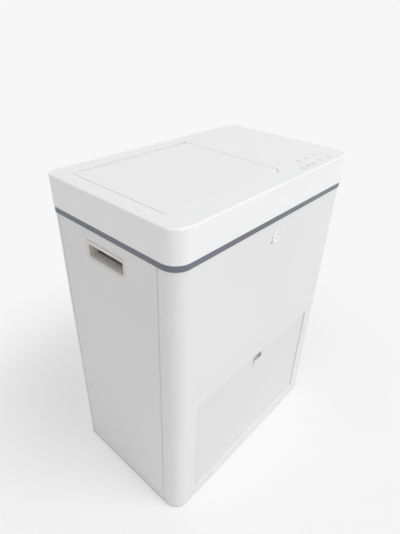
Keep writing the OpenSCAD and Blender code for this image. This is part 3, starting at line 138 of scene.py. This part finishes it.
def clouds(tree, place, size_mm, detail=2.0, stretch=(1, 1, 1)):
    """Soft noise with blobs about size_mm across; stretch divides the scale along each axis."""
    scaled = add(
        tree,
        "ShaderNodeMapping",
        sockets={"Vector": place, "Scale": [1 / (size_mm * MM * s) for s in stretch]},
    ).outputs["Vector"]
    return add(
        tree, "ShaderNodeTexNoise", sockets={"Vector": scaled, "Scale": 1.0, "Detail": detail}
    ).outputs["Fac"]


def between(tree, factor, low, high, span=PATTERN_SPAN):
    """A number that follows the factor: low at the span's first value, high at its second."""
    return add(
        tree,
        "ShaderNodeMapRange",
        settings={"interpolation_type": "SMOOTHSTEP"},
        sockets={
            "Value": factor,
            "From Min": span[0],
            "From Max": span[1],
            "To Min": low,
            "To Max": high,
        },
    ).outputs["Result"]


def blend_colours(tree, factor, dark, light):
    """Mixes two hex colours by a factor."""
    return add(
        tree,
        "ShaderNodeMix",
        settings={"data_type": "RGBA"},
        sockets={0: between(tree, factor, 0.0, 1.0), 6: linear(dark), 7: linear(light)},
    ).outputs[2]


def relief(tree, shader, height, depth_mm):
    """Turns a height between 0 and 1 into a bump of depth_mm on the shader's normal."""
    bump = add(
        tree,
        "ShaderNodeBump",
        sockets={"Height": height, "Distance": depth_mm * MM, "Strength": 1.0},
    )
    tree.links.new(bump.outputs["Normal"], shader.inputs["Normal"])


def moulded(name, colours, roughness, grain_mm, depth_mm, ior=1.5, metallic=0.0):
    """Two close tones in wide clouds, a fine grain as relief, and gloss that varies."""
    material, tree, shader, place = start_finish(name, colours[0], roughness[0], metallic, ior)
    wide = clouds(tree, place, TONE_MM, detail=0.0)
    tree.links.new(blend_colours(tree, wide, *colours), shader.inputs["Base Color"])
    fine = clouds(tree, place, grain_mm)
    worn = clouds(tree, place, WORN_MM, detail=0.0)
    tree.links.new(between(tree, worn, *roughness, span=WHOLE_SPAN), shader.inputs["Roughness"])
    relief(tree, shader, fine, depth_mm)
    return material


print("finish helpers ready")

# %% [markdown]
# ## The white shell: gloss ABS above, powder coat below
# The cover and lid are moulded ABS with a polished tool face. Up close such a face has a very faint
# ripple, and hands leave it a little duller in places. The panels under it are sheet steel with a
# sprayed and baked powder coat, whose surface has the fine orange peel that powder leaves.

# %% Shell finishes
FINISH = {}
FINISH["cover_white"] = moulded(
    "abs_polished_moulding", ("#f3f3f4", "#f3f3f4"), (0.27, 0.33), 0.8, 0.004, ior=1.53
)
FINISH["panel_white"] = moulded(
    "steel_sheet_powder_coat", ("#e7e7e7", "#e9e9e9"), (0.4, 0.48), 1.6, 0.02
)
# The drawer front's white is a little darker than the panels': its own moulding, and painted shade
# for its lower, recessed place.
FINISH["drawer_white"] = moulded(
    "abs_satin_drawer_front_with_painted_shade", ("#e1e1e1", "#e4e4e4"), (0.34, 0.42), 2.2, 0.02, ior=1.53
)
FINISH["base_white"] = moulded(
    "polypropylene_fine_grain", ("#dfdfdf", "#e6e6e6"), (0.5, 0.6), 1.0, 0.06, ior=1.49
)
FINISH["button_white"] = moulded(
    "abs_gloss_button", ("#f0f0f0", "#f3f3f3"), (0.18, 0.24), 3.0, 0.01, ior=1.53
)
FINISH["handle_cream"] = moulded(
    "polycarbonate_abs_satin", ("#e6e4dd", "#eae8e1"), (0.24, 0.32), 1.2, 0.03, ior=1.56
)
# The pockets' back walls: a rough grain, and a dark tone that is painted shade for the shadow deep
# in the pocket.
FINISH["handle_pocket"] = moulded(
    "polycarbonate_abs_rough_grain_painted_shade", ("#605e54", "#66645a"), (0.55, 0.65), 1.2, 0.08, ior=1.56
)
FINISH["band_grey"] = moulded(
    "abs_blue_grey_spark_grain", ("#646875", "#6c707e"), (0.28, 0.36), 0.9, 0.05, ior=1.55
)
print("shell finishes:", len(FINISH))

# %% [markdown]
# ## Metals
# Zinc-coated sheet shows spangle: flat crystals some millimetres wide that each catch the light
# differently, which a Voronoi pattern gives. Brushed stainless has long scratches along the grain,
# so the noise is stretched a hundredfold one way. Turned steel has finer marks across its length.

# %% Metal finishes
SPANGLE_GLOSS = (0.38, 0.52)
SCRATCH_MM, SCRATCH_DEPTH_MM = 0.6, 0.02
SCRATCH_GLOSS = (-0.06, 0.08)


def spangled(name, dark, light, cell_mm):
    """Hot-dip zinc: cells of cell_mm, each with its own tone and roughness."""
    material, tree, shader, place = start_finish(name, dark, SPANGLE_GLOSS[0], metallic=1.0)
    cells = add(
        tree, "ShaderNodeTexVoronoi", sockets={"Vector": place, "Scale": 1 / (cell_mm * MM)}
    ).outputs["Color"]
    tree.links.new(blend_colours(tree, cells, dark, light), shader.inputs["Base Color"])
    tree.links.new(between(tree, cells, *SPANGLE_GLOSS), shader.inputs["Roughness"])
    return material


def scratched(name, dark, light, roughness, stretch):
    """Brushed metal: noise drawn out along one axis gives tone, roughness and a shallow relief."""
    material, tree, shader, place = start_finish(name, dark, roughness, metallic=1.0)
    lines = clouds(tree, place, SCRATCH_MM, detail=3.0, stretch=stretch)
    tree.links.new(blend_colours(tree, lines, dark, light), shader.inputs["Base Color"])
    low, high = (roughness + change for change in SCRATCH_GLOSS)
    tree.links.new(between(tree, lines, low, high), shader.inputs["Roughness"])
    relief(tree, shader, lines, SCRATCH_DEPTH_MM)
    return material


FINISH["zinc_steel"] = spangled("zinc_coated_sheet_spangle", "#a9adb0", "#c3c6c8", 9)
FINISH["stainless"] = scratched("stainless_sheet_brushed", "#aeaeac", "#c6c6c4", 0.32, (120, 1, 1))
FINISH["turned_steel"] = scratched("steel_turned_ground", "#a4a4a4", "#c0c0c0", 0.26, (1, 60, 60))
FINISH["slide_steel"] = scratched("zinc_bright_rolled", "#b3b6ba", "#cccfd2", 0.3, (1, 140, 1))
FINISH["bronze"] = moulded(
    "bronze_sintered", ("#8a6a3e", "#a07c4b"), (0.45, 0.6), 0.5, 0.05, metallic=1.0
)
FINISH["cast_housing"] = moulded(
    "aluminium_die_cast", ("#8e9092", "#a1a3a5"), (0.42, 0.58), 1.8, 0.08, metallic=1.0
)
print("metal finishes ready:", len(FINISH), "in all")

# %% [markdown]
# ## Rubber, gears and dark plastics
# Rubber feet and seals are dull with a tight grain. Acetal gears are milky and slightly soft to
# light. The bin and the duct are coloured in the mass, so their scuffs are only a little lighter.
# One row of the table holds the slot, the material's name, its two tones, its range of roughness,
# the grain's size and depth in millimetres, and the index of refraction.

# %% Rubber and plastic finishes
ACETAL_SOFTNESS = 0.06
PLASTICS = [
    ("foot_rubber", "rubber_moulded_foot", "#1c1c1e", "#262629", (0.7, 0.85), 0.8, 0.1, 1.5),
    ("seal_black", "nitrile_lip_seal", "#151516", "#1d1d1f", (0.55, 0.7), 0.6, 0.04, 1.5),
    ("seal_silicone", "silicone_extruded_seal", "#9b9ea1", "#a8abad", (0.5, 0.62), 0.9, 0.04, 1.5),
    ("liner_grey", "polypropylene_liner", "#c3c5c7", "#cccecf", (0.42, 0.55), 1.2, 0.05, 1.5),
    ("acetal", "acetal_hobbed_gear", "#e2e2dc", "#e9e9e4", (0.32, 0.42), 0.9, 0.02, 1.48),
    ("motor_black", "motor_black_lacquer", "#1a1a1c", "#232326", (0.34, 0.46), 1.0, 0.03, 1.5),
    ("electronics_black", "nylon_black_housing", "#161617", "#1e1e20", (0.45, 0.6), 0.7, 0.06, 1.5),
    ("duct_grey", "polypropylene_duct", "#3a3c3e", "#46484a", (0.45, 0.6), 1.0, 0.05, 1.5),
    ("bin_grey", "polypropylene_bin", "#34363a", "#3f4146", (0.4, 0.55), 1.1, 0.06, 1.5),
    ("rocker_red", "nylon_red_rocker", "#8c1414", "#9a1b1a", (0.25, 0.35), 2.0, 0.01, 1.5),
]
for slot, name, dark, light, gloss, grain_mm, depth_mm, ior in PLASTICS:
    FINISH[slot] = moulded(name, (dark, light), gloss, grain_mm, depth_mm, ior)
soft_light = FINISH["acetal"].node_tree.nodes["Principled BSDF"].inputs["Subsurface Weight"]
soft_light.default_value = ACETAL_SOFTNESS
print("plastic finishes ready:", len(FINISH), "in all")

# %% [markdown]
# ## Special finishes
# A heater mat is silicone over an etched track that shows as shallow ridges. The carbon cartridge
# is loose grains of about 3 mm, which Voronoi cells give. A circuit board's lacquer lies over
# straight copper tracks, so its pattern is made of bricks and not of clouds. The lamp is a clear
# light pipe.

# %% Heater, carbon, board and lamp
RIDGE_SCALE_MM, RIDGE_DEPTH_MM = 40, 0.4
CARBON_GRAIN_MM, CARBON_DEPTH_MM = 3, 1.2
TRACK_SCALE_MM, TRACK_DEPTH_MM, TRACK_GAP = 40, 0.05, 0.03
LAMP_CLEARNESS, LAMP_GRAIN_MM, LAMP_GLOSS = 0.35, 2.0, (0.08, 0.16)

material, tree, shader, place = start_finish("silicone_heater_mat", "#a8481a", 0.6)
ridges = add(
    tree,
    "ShaderNodeTexWave",
    settings={"bands_direction": "X"},
    sockets={"Vector": place, "Scale": 1 / (RIDGE_SCALE_MM * MM), "Distortion": 0.0},
).outputs["Fac"]
tree.links.new(blend_colours(tree, ridges, "#9c4116", "#b5521f"), shader.inputs["Base Color"])
relief(tree, shader, ridges, RIDGE_DEPTH_MM)
FINISH["heater_orange"] = material

material, tree, shader, place = start_finish("carbon_grains", "#141414", 0.6)
grains = add(
    tree, "ShaderNodeTexVoronoi", sockets={"Vector": place, "Scale": 1 / (CARBON_GRAIN_MM * MM)}
)
tree.links.new(
    blend_colours(tree, grains.outputs["Color"], "#0d0d0e", "#2b2b2d"), shader.inputs["Base Color"]
)
relief(tree, shader, grains.outputs["Distance"], CARBON_DEPTH_MM)
FINISH["carbon"] = material

material, tree, shader, place = start_finish("board_solder_lacquer", "#0f4a2c", 0.35)
tracks = add(
    tree,
    "ShaderNodeTexBrick",
    sockets={
        "Vector": place,
        "Scale": 1 / (TRACK_SCALE_MM * MM),
        "Color1": linear("#0f4a2c"),
        "Color2": linear("#13573a"),
        "Mortar": linear("#1f7a4c"),
        "Mortar Size": TRACK_GAP,
    },
)
tree.links.new(tracks.outputs["Color"], shader.inputs["Base Color"])
relief(tree, shader, tracks.outputs["Fac"], TRACK_DEPTH_MM)
FINISH["board_green"] = material

material, tree, shader, place = start_finish("polycarbonate_light_pipe", "#4a4d52", 0.12, ior=1.58)
shader.inputs["Transmission Weight"].default_value = LAMP_CLEARNESS
haze = clouds(tree, place, LAMP_GRAIN_MM)
tree.links.new(between(tree, haze, *LAMP_GLOSS), shader.inputs["Roughness"])
FINISH["lamp_clear"] = material
print("all finishes:", len(FINISH))

# %% [markdown]
# ## Every CAD node gets its finish
# The record names a material slot for each node, so the finishes go on by slot. A node's mesh is
# left as it is: only its material changes.

# %% Finish by slot
for part in frame["record"]["subparts"]:
    node = frame["nodes"][part["node"]]
    node.data.materials.clear()
    node.data.materials.append(FINISH[part["material_slot"]])

# %% [markdown]
# ## Edge radii
# No moulding or pressed sheet has a truly sharp edge. A radius of half a millimetre is what draws
# the thin bright line along an edge. The CAD node is copied, its loose triangles are joined into
# clean faces, and a Bevel modifier rounds every edge sharper than the limit. Normals weighted by
# area then keep the large faces flat. The copy stands for the node.
#
# With clamping, Bevel makes all radii of a mesh as small as its narrowest place allows, which is
# safe where a shape has fine details. Without it the five large shells get their whole radius.

# %% Softened copies of the shells
WELD_M, COPLANAR_DEG = 2e-6, 0.2
SHARP_DEG, ARC_STEPS, AREA_WEIGHT = 32, 3, 50


def softened(node, radius_mm, clamp):
    """A copy of a CAD node whose edges sharper than SHARP_DEG are arcs of radius_mm."""
    mesh = frame["nodes"][node].data.copy()
    shape = bmesh.new()
    shape.from_mesh(mesh)
    bmesh.ops.remove_doubles(shape, verts=shape.verts, dist=WELD_M)
    bmesh.ops.dissolve_limit(
        shape, angle_limit=math.radians(COPLANAR_DEG), verts=shape.verts, edges=shape.edges
    )
    shape.to_mesh(mesh)
    shape.free()
    mesh.polygons.foreach_set("use_smooth", np.ones(len(mesh.polygons), bool))
    piece = bpy.data.objects.new("soft_" + node, mesh)
    bpy.context.collection.objects.link(piece)
    bevel = piece.modifiers.new("edge_radius", "BEVEL")
    bevel.width = radius_mm * MM
    bevel.segments = ARC_STEPS
    bevel.limit_method = "ANGLE"
    bevel.angle_limit = math.radians(SHARP_DEG)
    bevel.harden_normals = True
    bevel.use_clamp_overlap = clamp
    flat = piece.modifiers.new("flat_faces", "WEIGHTED_NORMAL")
    flat.mode = "FACE_AREA"
    flat.weight = AREA_WEIGHT
    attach(piece, BODY[node])
    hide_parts(node)
    SOFT[node] = piece


SOFT = {}
SHEET_EDGE_MM = {
    "top_cover": 0.8,
    "lid": 1.4,
    "front_panel": 0.8,
    "left_side_panel": 0.8,
    "right_side_panel": 0.8,
}
EDGE_MM = {
    "rear_panel": 0.6,
    "trim_band": 0.5,
    "base_pan": 0.5,
    "drawer_front": 0.7,
    "carrying_handles": 0.4,
    "button_bezel": 0.5,
    "compost_bin": 0.8,
    "power_inlet": 0.4,
    "power_rocker": 0.4,
    "feed_throat": 0.4,
    "chamber": 0.4,
    "lid_liner": 0.5,
}
for node, radius in SHEET_EDGE_MM.items():
    softened(node, radius, clamp=False)
for node, radius in EDGE_MM.items():
    softened(node, radius, clamp=True)
print("softened copies:", len(SHEET_EDGE_MM) + len(EDGE_MM))

# %% [markdown]
# ## A rougher grain and painted shade at the back of the grip pockets
# A handle's rim is polished where the hand sees it. The back wall of its pocket keeps the mould's
# rough grain, and its dark tone is painted shade for the shadow deep in the pocket. Its faces are
# those that lie nearer to the middle than a limit.

# %% Pocket faces
POCKET_BACK_MM = 277.0
handles = SOFT["carrying_handles"].data
handles.materials.append(FINISH["handle_pocket"])
for face in handles.polygons:
    if abs(face.center.x) < POCKET_BACK_MM * MM:
        face.material_index = 1
print("pocket back faces:", sum(face.material_index for face in handles.polygons))

# %% [markdown]
# ## A mesh from rings
# The small pieces that follow are surfaces made of rings: a grid of points worked out as whole
# arrays, one row for each ring, whose last point joins the first.

# %% Rings to mesh
RING_WELD_M = 1e-7


def ring_quads(rings, points):
    """Quads between neighbouring rings: corners (r, c), (r, c + 1), (r + 1, c + 1), (r + 1, c)."""
    r = np.arange(rings - 1)[:, None] * points
    c = np.arange(points)[None, :]
    after = (c + 1) % points
    return np.stack([r + c, r + after, r + points + after, r + points + c], -1).reshape(-1, 4)


def ring_piece(name, grid, body, finish, smooth=False):
    """A mesh of a grid (rings, points, 3) that rides on a body and shows a finish."""
    mesh = bpy.data.meshes.new(name)
    mesh.from_pydata(grid.reshape(-1, 3), [], ring_quads(*grid.shape[:2]))
    shape = bmesh.new()
    shape.from_mesh(mesh)
    bmesh.ops.remove_doubles(shape, verts=shape.verts, dist=RING_WELD_M)
    bmesh.ops.recalc_face_normals(shape, faces=shape.faces)
    shape.to_mesh(mesh)
    shape.free()
    mesh.polygons.foreach_set("use_smooth", np.full(len(mesh.polygons), smooth))
    mesh.materials.append(finish)
    piece = bpy.data.objects.new(name, mesh)
    bpy.context.collection.objects.link(piece)
    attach(piece, body)


print("ring helper ready")

# %% [markdown]
# ## Touch icons on the cover
# The control field is printed: eight small grey signs in two rows near the front right corner. Each
# is a closed band of ink that follows a simple curve, such as a ring, a bar or an arc, so a stroke
# is a path in the plane with a width. The ink is 0.02 mm thick and lies on the cover.

# %% Icon strokes
INK = moulded("pad_printed_grey_ink", ("#8b8e93", "#94979c"), (0.4, 0.5), 0.8, 0.005)
INK_T, ICON_W = 0.02, 0.9
COVER_TOP_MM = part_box("top_cover")[1].z / MM


def stroke(x, y, path_mm):
    """A closed band of ink: the path's points moved sideways by half the width, over and under."""
    p = np.asarray(path_mm, float)
    along = np.gradient(p, axis=0)
    along /= np.linalg.norm(along, axis=1, keepdims=True)
    side = np.stack([-along[:, 1], along[:, 0]], 1) * ICON_W / 2
    rim = [p + side, p + side, p - side, p - side]
    z = [0.0, INK_T, INK_T, 0.0]
    grid = np.stack([np.column_stack([e, np.full(len(p), h)]) for e, h in zip(rim, z)], 1)
    return (grid + np.array([x, y, COVER_TOP_MM])) * MM


def arc(radius, start_deg, end_deg, count=25):
    """Points on a circle between two angles."""
    a = np.radians(np.linspace(start_deg, end_deg, count))
    return np.column_stack([radius * np.cos(a), radius * np.sin(a)])


def bar(x0, y0, x1, y1):
    """Three points on a straight line."""
    t = np.linspace(0, 1, 3)[:, None]
    return np.array([[x0, y0]]) * (1 - t) + np.array([[x1, y1]]) * t


print("ink", INK_T, "mm thick on the cover at", round(COVER_TOP_MM, 1), "mm")

# %% [markdown]
# ### Where the signs stand
# The back row has three signs, each a small ring over a bar. The front row has five larger rings,
# and each holds a mark of its own.

# %% Icons
BACK_ROW_Y, BACK_ROW_X = -131.0, (144, 177, 215)
FRONT_ROW_Y, FRONT_ROW_X = -163.0, (112, 134, 155, 189, 228)
BACK_SIGN = [arc(3.0, 0, 360), bar(-5.5, -5.6, 5.5, -5.6)]
FRONT_RING = arc(4.6, 0, 360, 33)
FRONT_MARKS = [
    (112, bar(0, 0, 0, 4.6)),
    (134, arc(2.2, -60, 240)),
    (155, bar(-2.2, 0, 2.2, 0)),
    (189, bar(-2.2, -1.2, 0, 1.6)),
    (189, bar(0, 1.6, 2.2, -1.2)),
    (228, bar(-1.6, -1.6, 1.6, 1.6)),
]
ink_strokes = [stroke(x, BACK_ROW_Y, path) for x in BACK_ROW_X for path in BACK_SIGN]
ink_strokes += [stroke(x, FRONT_ROW_Y, FRONT_RING) for x in FRONT_ROW_X]
ink_strokes += [stroke(x, FRONT_ROW_Y, path) for x, path in FRONT_MARKS]
for number, grid in enumerate(ink_strokes):
    ring_piece(f"icon_stroke_{number:02d}", grid, "cabinet", INK)
print("ink strokes:", len(ink_strokes))

# %% [markdown]
# ## Window and marks on the button
# The round button high on the front carries a small dark window and, below it, a short bar and a
# dot of ink. The window is a shallow disc, and the ink lies on the face like that of the icons.

# %% Button details
DARK = moulded("smoked_window", ("#101012", "#161618"), (0.12, 0.2), 2.0, 0.002)
button_low, button_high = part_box("start_button")
BUTTON_FACE = button_low.y / MM
BUTTON_X = (button_low.x + button_high.x) / 2 / MM
BUTTON_Z = (button_low.z + button_high.z) / 2 / MM
DISC_POINTS = 32
DISC_RINGS = [(0.0, 1.0), (0.9, 1.0), (1.0, 0.7), (1.0, 0.0), (0.0, 0.0)]
WINDOW_AT, WINDOW_R, WINDOW_T = (3.0, 5.0), 1.7, 0.05
DOT_AT, DOT_R = (4.7, -4.8), 0.9
BAR_FROM, BAR_TO, BAR_W = (-5.5, 5.0), (-3.0, -6.0), 1.1


def on_button(x, out, z):
    """Points on the button's face, from offsets x and z from its centre and out from the face."""
    return np.stack([BUTTON_X + x, BUTTON_FACE - out, BUTTON_Z + z], -1) * MM


def disc_grid(centre, radius, proud):
    """A shallow round boss: rings of (share of radius, share of height), turned about Y."""
    a = np.linspace(0, 2 * np.pi, DISC_POINTS, endpoint=False)[None, :]
    share, height = (np.array(column)[:, None] for column in zip(*DISC_RINGS))
    x = centre[0] + share * radius * np.cos(a)
    z = centre[1] + share * radius * np.sin(a)
    return on_button(x, height * proud + 0 * a, z)


def bar_grid(start, end, width, proud):
    """A closed bar: a rectangle of width by proud from start to end, with its ends filled."""
    start, end = np.array(start), np.array(end)
    along = (end - start) / np.linalg.norm(end - start)
    side = np.array([-along[1], along[0]]) * width / 2
    path = np.stack([start, start, end, end])[:, None, :]
    open_share = np.array([0, 1, 1, 0])[:, None]
    across = np.stack([side, side, -side, -side])[None, :, :]
    height = np.array([0.0, proud, proud, 0.0])[None, :]
    flat = path + open_share[:, :, None] * across
    return on_button(flat[..., 0], open_share * height, flat[..., 1])


window = disc_grid(WINDOW_AT, WINDOW_R, WINDOW_T)
ring_piece("button_window", window, "start_button", DARK, smooth=True)
dot = disc_grid(DOT_AT, DOT_R, INK_T)
ring_piece("button_dot", dot, "start_button", INK, smooth=True)
ink_bar = bar_grid(BAR_FROM, BAR_TO, BAR_W, INK_T)
ring_piece("button_bar", ink_bar, "start_button", INK)
print("button face at y", round(BUTTON_FACE, 2), "mm")

# %% [markdown]
# ## Screws on the rear panel
# The rear panel comes off for service, so it is held by six pan-head screws. Each head is a dome
# with a cross recess: a surface of revolution whose height is pressed down along two crossing bars.

# %% Screw heads
rear_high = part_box("rear_panel")[1]
REAR_Y = rear_high.y / MM
SCREW_INSET, SCREW_Z = 22, (70, 364, 659)
HEAD_R, HEAD_H, HEAD_FALL = 4.0, 1.9, 0.45
CROSS_HALF_W, CROSS_HALF_L, CROSS_DEPTH = 0.55, 2.3, 1.1
HEAD_RINGS = [0, 0.12, 0.24, 0.36, 0.48, 0.6, 0.72, 0.84, 0.95, 1.0]
HEAD_POINTS = 48


def screw_head(name, x, z):
    """A dome of height HEAD_H * (1 - HEAD_FALL * r ** 2), less a cross of two slots."""
    radius = np.array(HEAD_RINGS)[:, None]
    a = np.linspace(0, 2 * np.pi, HEAD_POINTS, endpoint=False)[None, :]
    u, v = radius * np.cos(a) * HEAD_R, radius * np.sin(a) * HEAD_R
    height = HEAD_H * (1 - HEAD_FALL * radius**2) + 0 * a
    upright = (np.abs(u) < CROSS_HALF_W) & (np.abs(v) < CROSS_HALF_L)
    level = (np.abs(v) < CROSS_HALF_W) & (np.abs(u) < CROSS_HALF_L)
    height = np.where(upright | level, height - CROSS_DEPTH, height)
    dome = np.stack([x + u, REAR_Y + height, z + v], -1)
    rim = np.stack([x + u[-1:], np.full_like(u[-1:], REAR_Y), z + v[-1:]], -1)
    middle = np.broadcast_to(np.array([x, REAR_Y, z]), rim.shape)
    grid = np.concatenate([dome, rim, middle]) * MM
    ring_piece(name, grid, "cabinet", FINISH["turned_steel"])


screw_x = rear_high.x / MM - SCREW_INSET
for k, (side, z) in enumerate([(side, z) for side in (-1, 1) for z in SCREW_Z]):
    screw_head(f"rear_screw_{k}", side * screw_x, z)
print("rear screws at x", round(screw_x, 1), "mm")

# %% [markdown]
# ## The pins of the mains inlet
# Three flat blades stand in the inlet's mouth. Each is a closed tube of rectangular section with a
# bevelled tip, carried along Y.

# %% Inlet blades
BLADE_X, BLADE_Z = 223.0, 120.0
BLADE_OFFSETS = [(-7, -2.5), (0, 1.5), (7, -2.5)]
BLADE_Y = [168.4, 168.4, 179.5, 181.0, 181.0]
BLADE_SHARE = [0.0, 1.0, 1.0, 0.6, 0.0]
BLADE_CORNERS = [(-1.0, -2.0), (1.0, -2.0), (1.0, 2.0), (-1.0, 2.0)]


def blade(name, x, z):
    """Rectangular rings of 2 by 4 mm along Y, drawn in at the tip and closed at both ends."""
    y = np.array(BLADE_Y)[:, None]
    share = np.array(BLADE_SHARE)[:, None]
    corner_x, corner_z = (np.array(column)[None, :] * share for column in zip(*BLADE_CORNERS))
    grid = np.stack([x + corner_x, y + 0 * corner_x, z + corner_z], -1) * MM
    ring_piece(name, grid, "cabinet", FINISH["slide_steel"])


for k, (dx, dz) in enumerate(BLADE_OFFSETS):
    blade(f"inlet_blade_{k}", BLADE_X + dx, BLADE_Z + dz)
print("inlet blades stand to y", BLADE_Y[-1], "mm, panel face at", round(REAR_Y, 1))

# %% [markdown]
# ## The stage
# A product stands on a pale seamless sheet. The sheet is one surface of revolution: flat in the
# middle and curling up far outside, so no horizon line shows from any side.
#
# Near the machine the sheet shows half of its own lit colour, so the shadow stays. Further out it
# fades into a plain background tone, but only for rays that show it; it lights nothing with it.

# %% Background rays
AMBIENT, BACKGROUND = 0.32, 0.93


def larger(tree, first, second):
    """The larger of two values."""
    node = add(tree, "ShaderNodeMath", {"operation": "MAXIMUM"}, {0: first, 1: second})
    return node.outputs["Value"]


def seen_rays(tree):
    """1 for rays that show the background: from the camera, off a glossy face or through glass."""
    path = add(tree, "ShaderNodeLightPath")
    kinds = [path.outputs["Is " + kind + " Ray"] for kind in ("Camera", "Glossy", "Transmission")]
    return larger(tree, larger(tree, kinds[0], kinds[1]), kinds[2])


print("ambient", AMBIENT, "background", BACKGROUND)

# %% [markdown]
# ### The sheet's finish
# The fade follows the distance from the machine's axis over the floor.

# %% Paper
FADE_FROM, FADE_TO = 0.4, 1.05
NEAR_SHARE = 0.5
FIBRE_MM = 400

paper, tree, shader, place = start_finish("paper_backdrop", "#f8f8f8", 0.9)
fibre = clouds(tree, place, FIBRE_MM)
tree.links.new(blend_colours(tree, fibre, "#f7f7f7", "#f9f9f9"), shader.inputs["Base Color"])
flat_place = add(
    tree, "ShaderNodeVectorMath", {"operation": "MULTIPLY"}, {0: place, 1: (1, 1, 0)}
).outputs["Vector"]
distance = add(
    tree, "ShaderNodeVectorMath", {"operation": "LENGTH"}, {0: flat_place}
).outputs["Value"]
far = add(
    tree,
    "ShaderNodeMapRange",
    {"interpolation_type": "SMOOTHSTEP"},
    {"Value": distance, "From Min": FADE_FROM, "From Max": FADE_TO, "To Min": NEAR_SHARE},
).outputs["Result"]
seen_far = add(
    tree, "ShaderNodeMath", {"operation": "MULTIPLY"}, {0: far, 1: seen_rays(tree)}
).outputs["Value"]
plain = add(tree, "ShaderNodeEmission", sockets={"Color": (1, 1, 1, 1), "Strength": BACKGROUND})
sheet = add(
    tree,
    "ShaderNodeMixShader",
    sockets={0: seen_far, 1: shader.outputs["BSDF"], 2: plain.outputs["Emission"]},
)
paper_output = next(node for node in tree.nodes if node.type == "OUTPUT_MATERIAL")
tree.links.new(sheet.outputs["Shader"], paper_output.inputs["Surface"])
print("the sheet fades between", FADE_FROM, "and", FADE_TO, "m")

# %% [markdown]
# ### The sheet's shape
# Rings again: the same quads as for the small pieces, turned over so that they face up.

# %% Floor
FLOOR_R, FLOOR_RISE, FLAT_SHARE = 9.0, 5.0, 0.7
FLOOR_RINGS, FLOOR_POINTS = 40, 96


def bowl(radius, rise):
    """A flat disc to FLAT_SHARE of the radius, then a rise with the square of the distance."""
    r = np.concatenate([[0.0], np.linspace(0.1, 1.0, FLOOR_RINGS)])[:, None] * radius
    a = np.linspace(0, 2 * np.pi, FLOOR_POINTS, endpoint=False)[None, :]
    beyond = np.clip((r - FLAT_SHARE * radius) / ((1 - FLAT_SHARE) * radius), 0, None)
    return np.stack([r * np.cos(a), r * np.sin(a), rise * beyond**2 + 0 * a], -1)


grid = bowl(FLOOR_R, FLOOR_RISE)
floor_mesh = bpy.data.meshes.new("floor")
floor_mesh.from_pydata(grid.reshape(-1, 3), [], ring_quads(*grid.shape[:2])[:, ::-1])
floor_mesh.polygons.foreach_set("use_smooth", np.ones(len(floor_mesh.polygons), bool))
floor_mesh.materials.append(paper)
floor = bpy.data.objects.new("floor", floor_mesh)
bpy.context.collection.objects.link(floor)
print("floor radius", FLOOR_R, "m")

# %% [markdown]
# ## Light
# The photograph has soft light from above and from the front right, which leaves the left side
# about a third darker than the front. An even world gives the base level, one large lamp adds the
# direction and a weaker one lifts the left side. The background seen by the camera and by glossy
# reflections is set apart, so it can be almost white without adding light to the machine.

# %% World and lamps
LAMP_SIZE, LAMP_TARGET = 3.2, (0, 0, 0.4)
LAMPS = {"key_front_right": ((1.56, -4.2, 6.8), 305), "fill_left": ((-3.5, -1.56, 7.2), 80)}

scene = bpy.context.scene
scene.view_settings.view_transform = "Standard"
world = bpy.data.worlds.new("studio")
scene.world = world
world.use_nodes = True
tree = world.node_tree
tree.nodes.clear()
level = add(
    tree,
    "ShaderNodeMapRange",
    sockets={"Value": seen_rays(tree), "To Min": AMBIENT, "To Max": BACKGROUND},
).outputs["Result"]
glow = add(tree, "ShaderNodeBackground", sockets={"Color": (1, 1, 1, 1), "Strength": level})
add(tree, "ShaderNodeOutputWorld", sockets={"Surface": glow.outputs["Background"]})


def soft_lamp(name, place, watts):
    """A square lamp that faces the target."""
    data = bpy.data.lights.new(name, "AREA")
    data.shape = "SQUARE"
    data.size = LAMP_SIZE
    data.energy = watts
    lamp = bpy.data.objects.new(name, data)
    scene.collection.objects.link(lamp)
    lamp.location = place
    lamp.rotation_mode = "QUATERNION"
    lamp.rotation_quaternion = (Vector(place) - Vector(LAMP_TARGET)).to_track_quat("Z", "Y")


for name, (place, watts) in LAMPS.items():
    soft_lamp(name, place, watts)
print("lamps:", len(LAMPS))

# %% [markdown]
# ## Camera
# The camera stands where the photographer stood. Its place, direction and focal length come from
# fitting the cabinet's straight edges, and a small shift puts the optical axis where it was.

# %% Camera
PLACE_MM = (-694.1, -579.6, 1092.6)
RIGHT = Vector((0.66573, -0.74547, 0.03283))
DOWN = Vector((-0.38295, -0.37908, -0.84241))
FORWARD = Vector((0.64043, 0.54825, -0.53784))
FOCAL_PX, AXIS_PX, FRAME_PX = 417.28, (202.65, 269.11), (400, 534)
SENSOR_MM, CLIP_M = 36.0, (0.05, 60)
camera_data = bpy.data.cameras.new("camera")
camera = bpy.data.objects.new("camera", camera_data)
scene.collection.objects.link(camera)
turn = Matrix((RIGHT, -DOWN, -FORWARD)).transposed().to_4x4()
camera.matrix_world = Matrix.Translation(Vector(PLACE_MM) * MM) @ turn
camera_data.sensor_width = SENSOR_MM
camera_data.lens = FOCAL_PX * SENSOR_MM / FRAME_PX[1]
camera_data.shift_x = ((FRAME_PX[0] - 1) / 2 - AXIS_PX[0]) / FRAME_PX[1]
camera_data.shift_y = (AXIS_PX[1] - (FRAME_PX[1] - 1) / 2) / FRAME_PX[1]
camera_data.clip_start, camera_data.clip_end = CLIP_M
scene.camera = camera
print("lens", round(camera_data.lens, 2), "mm")
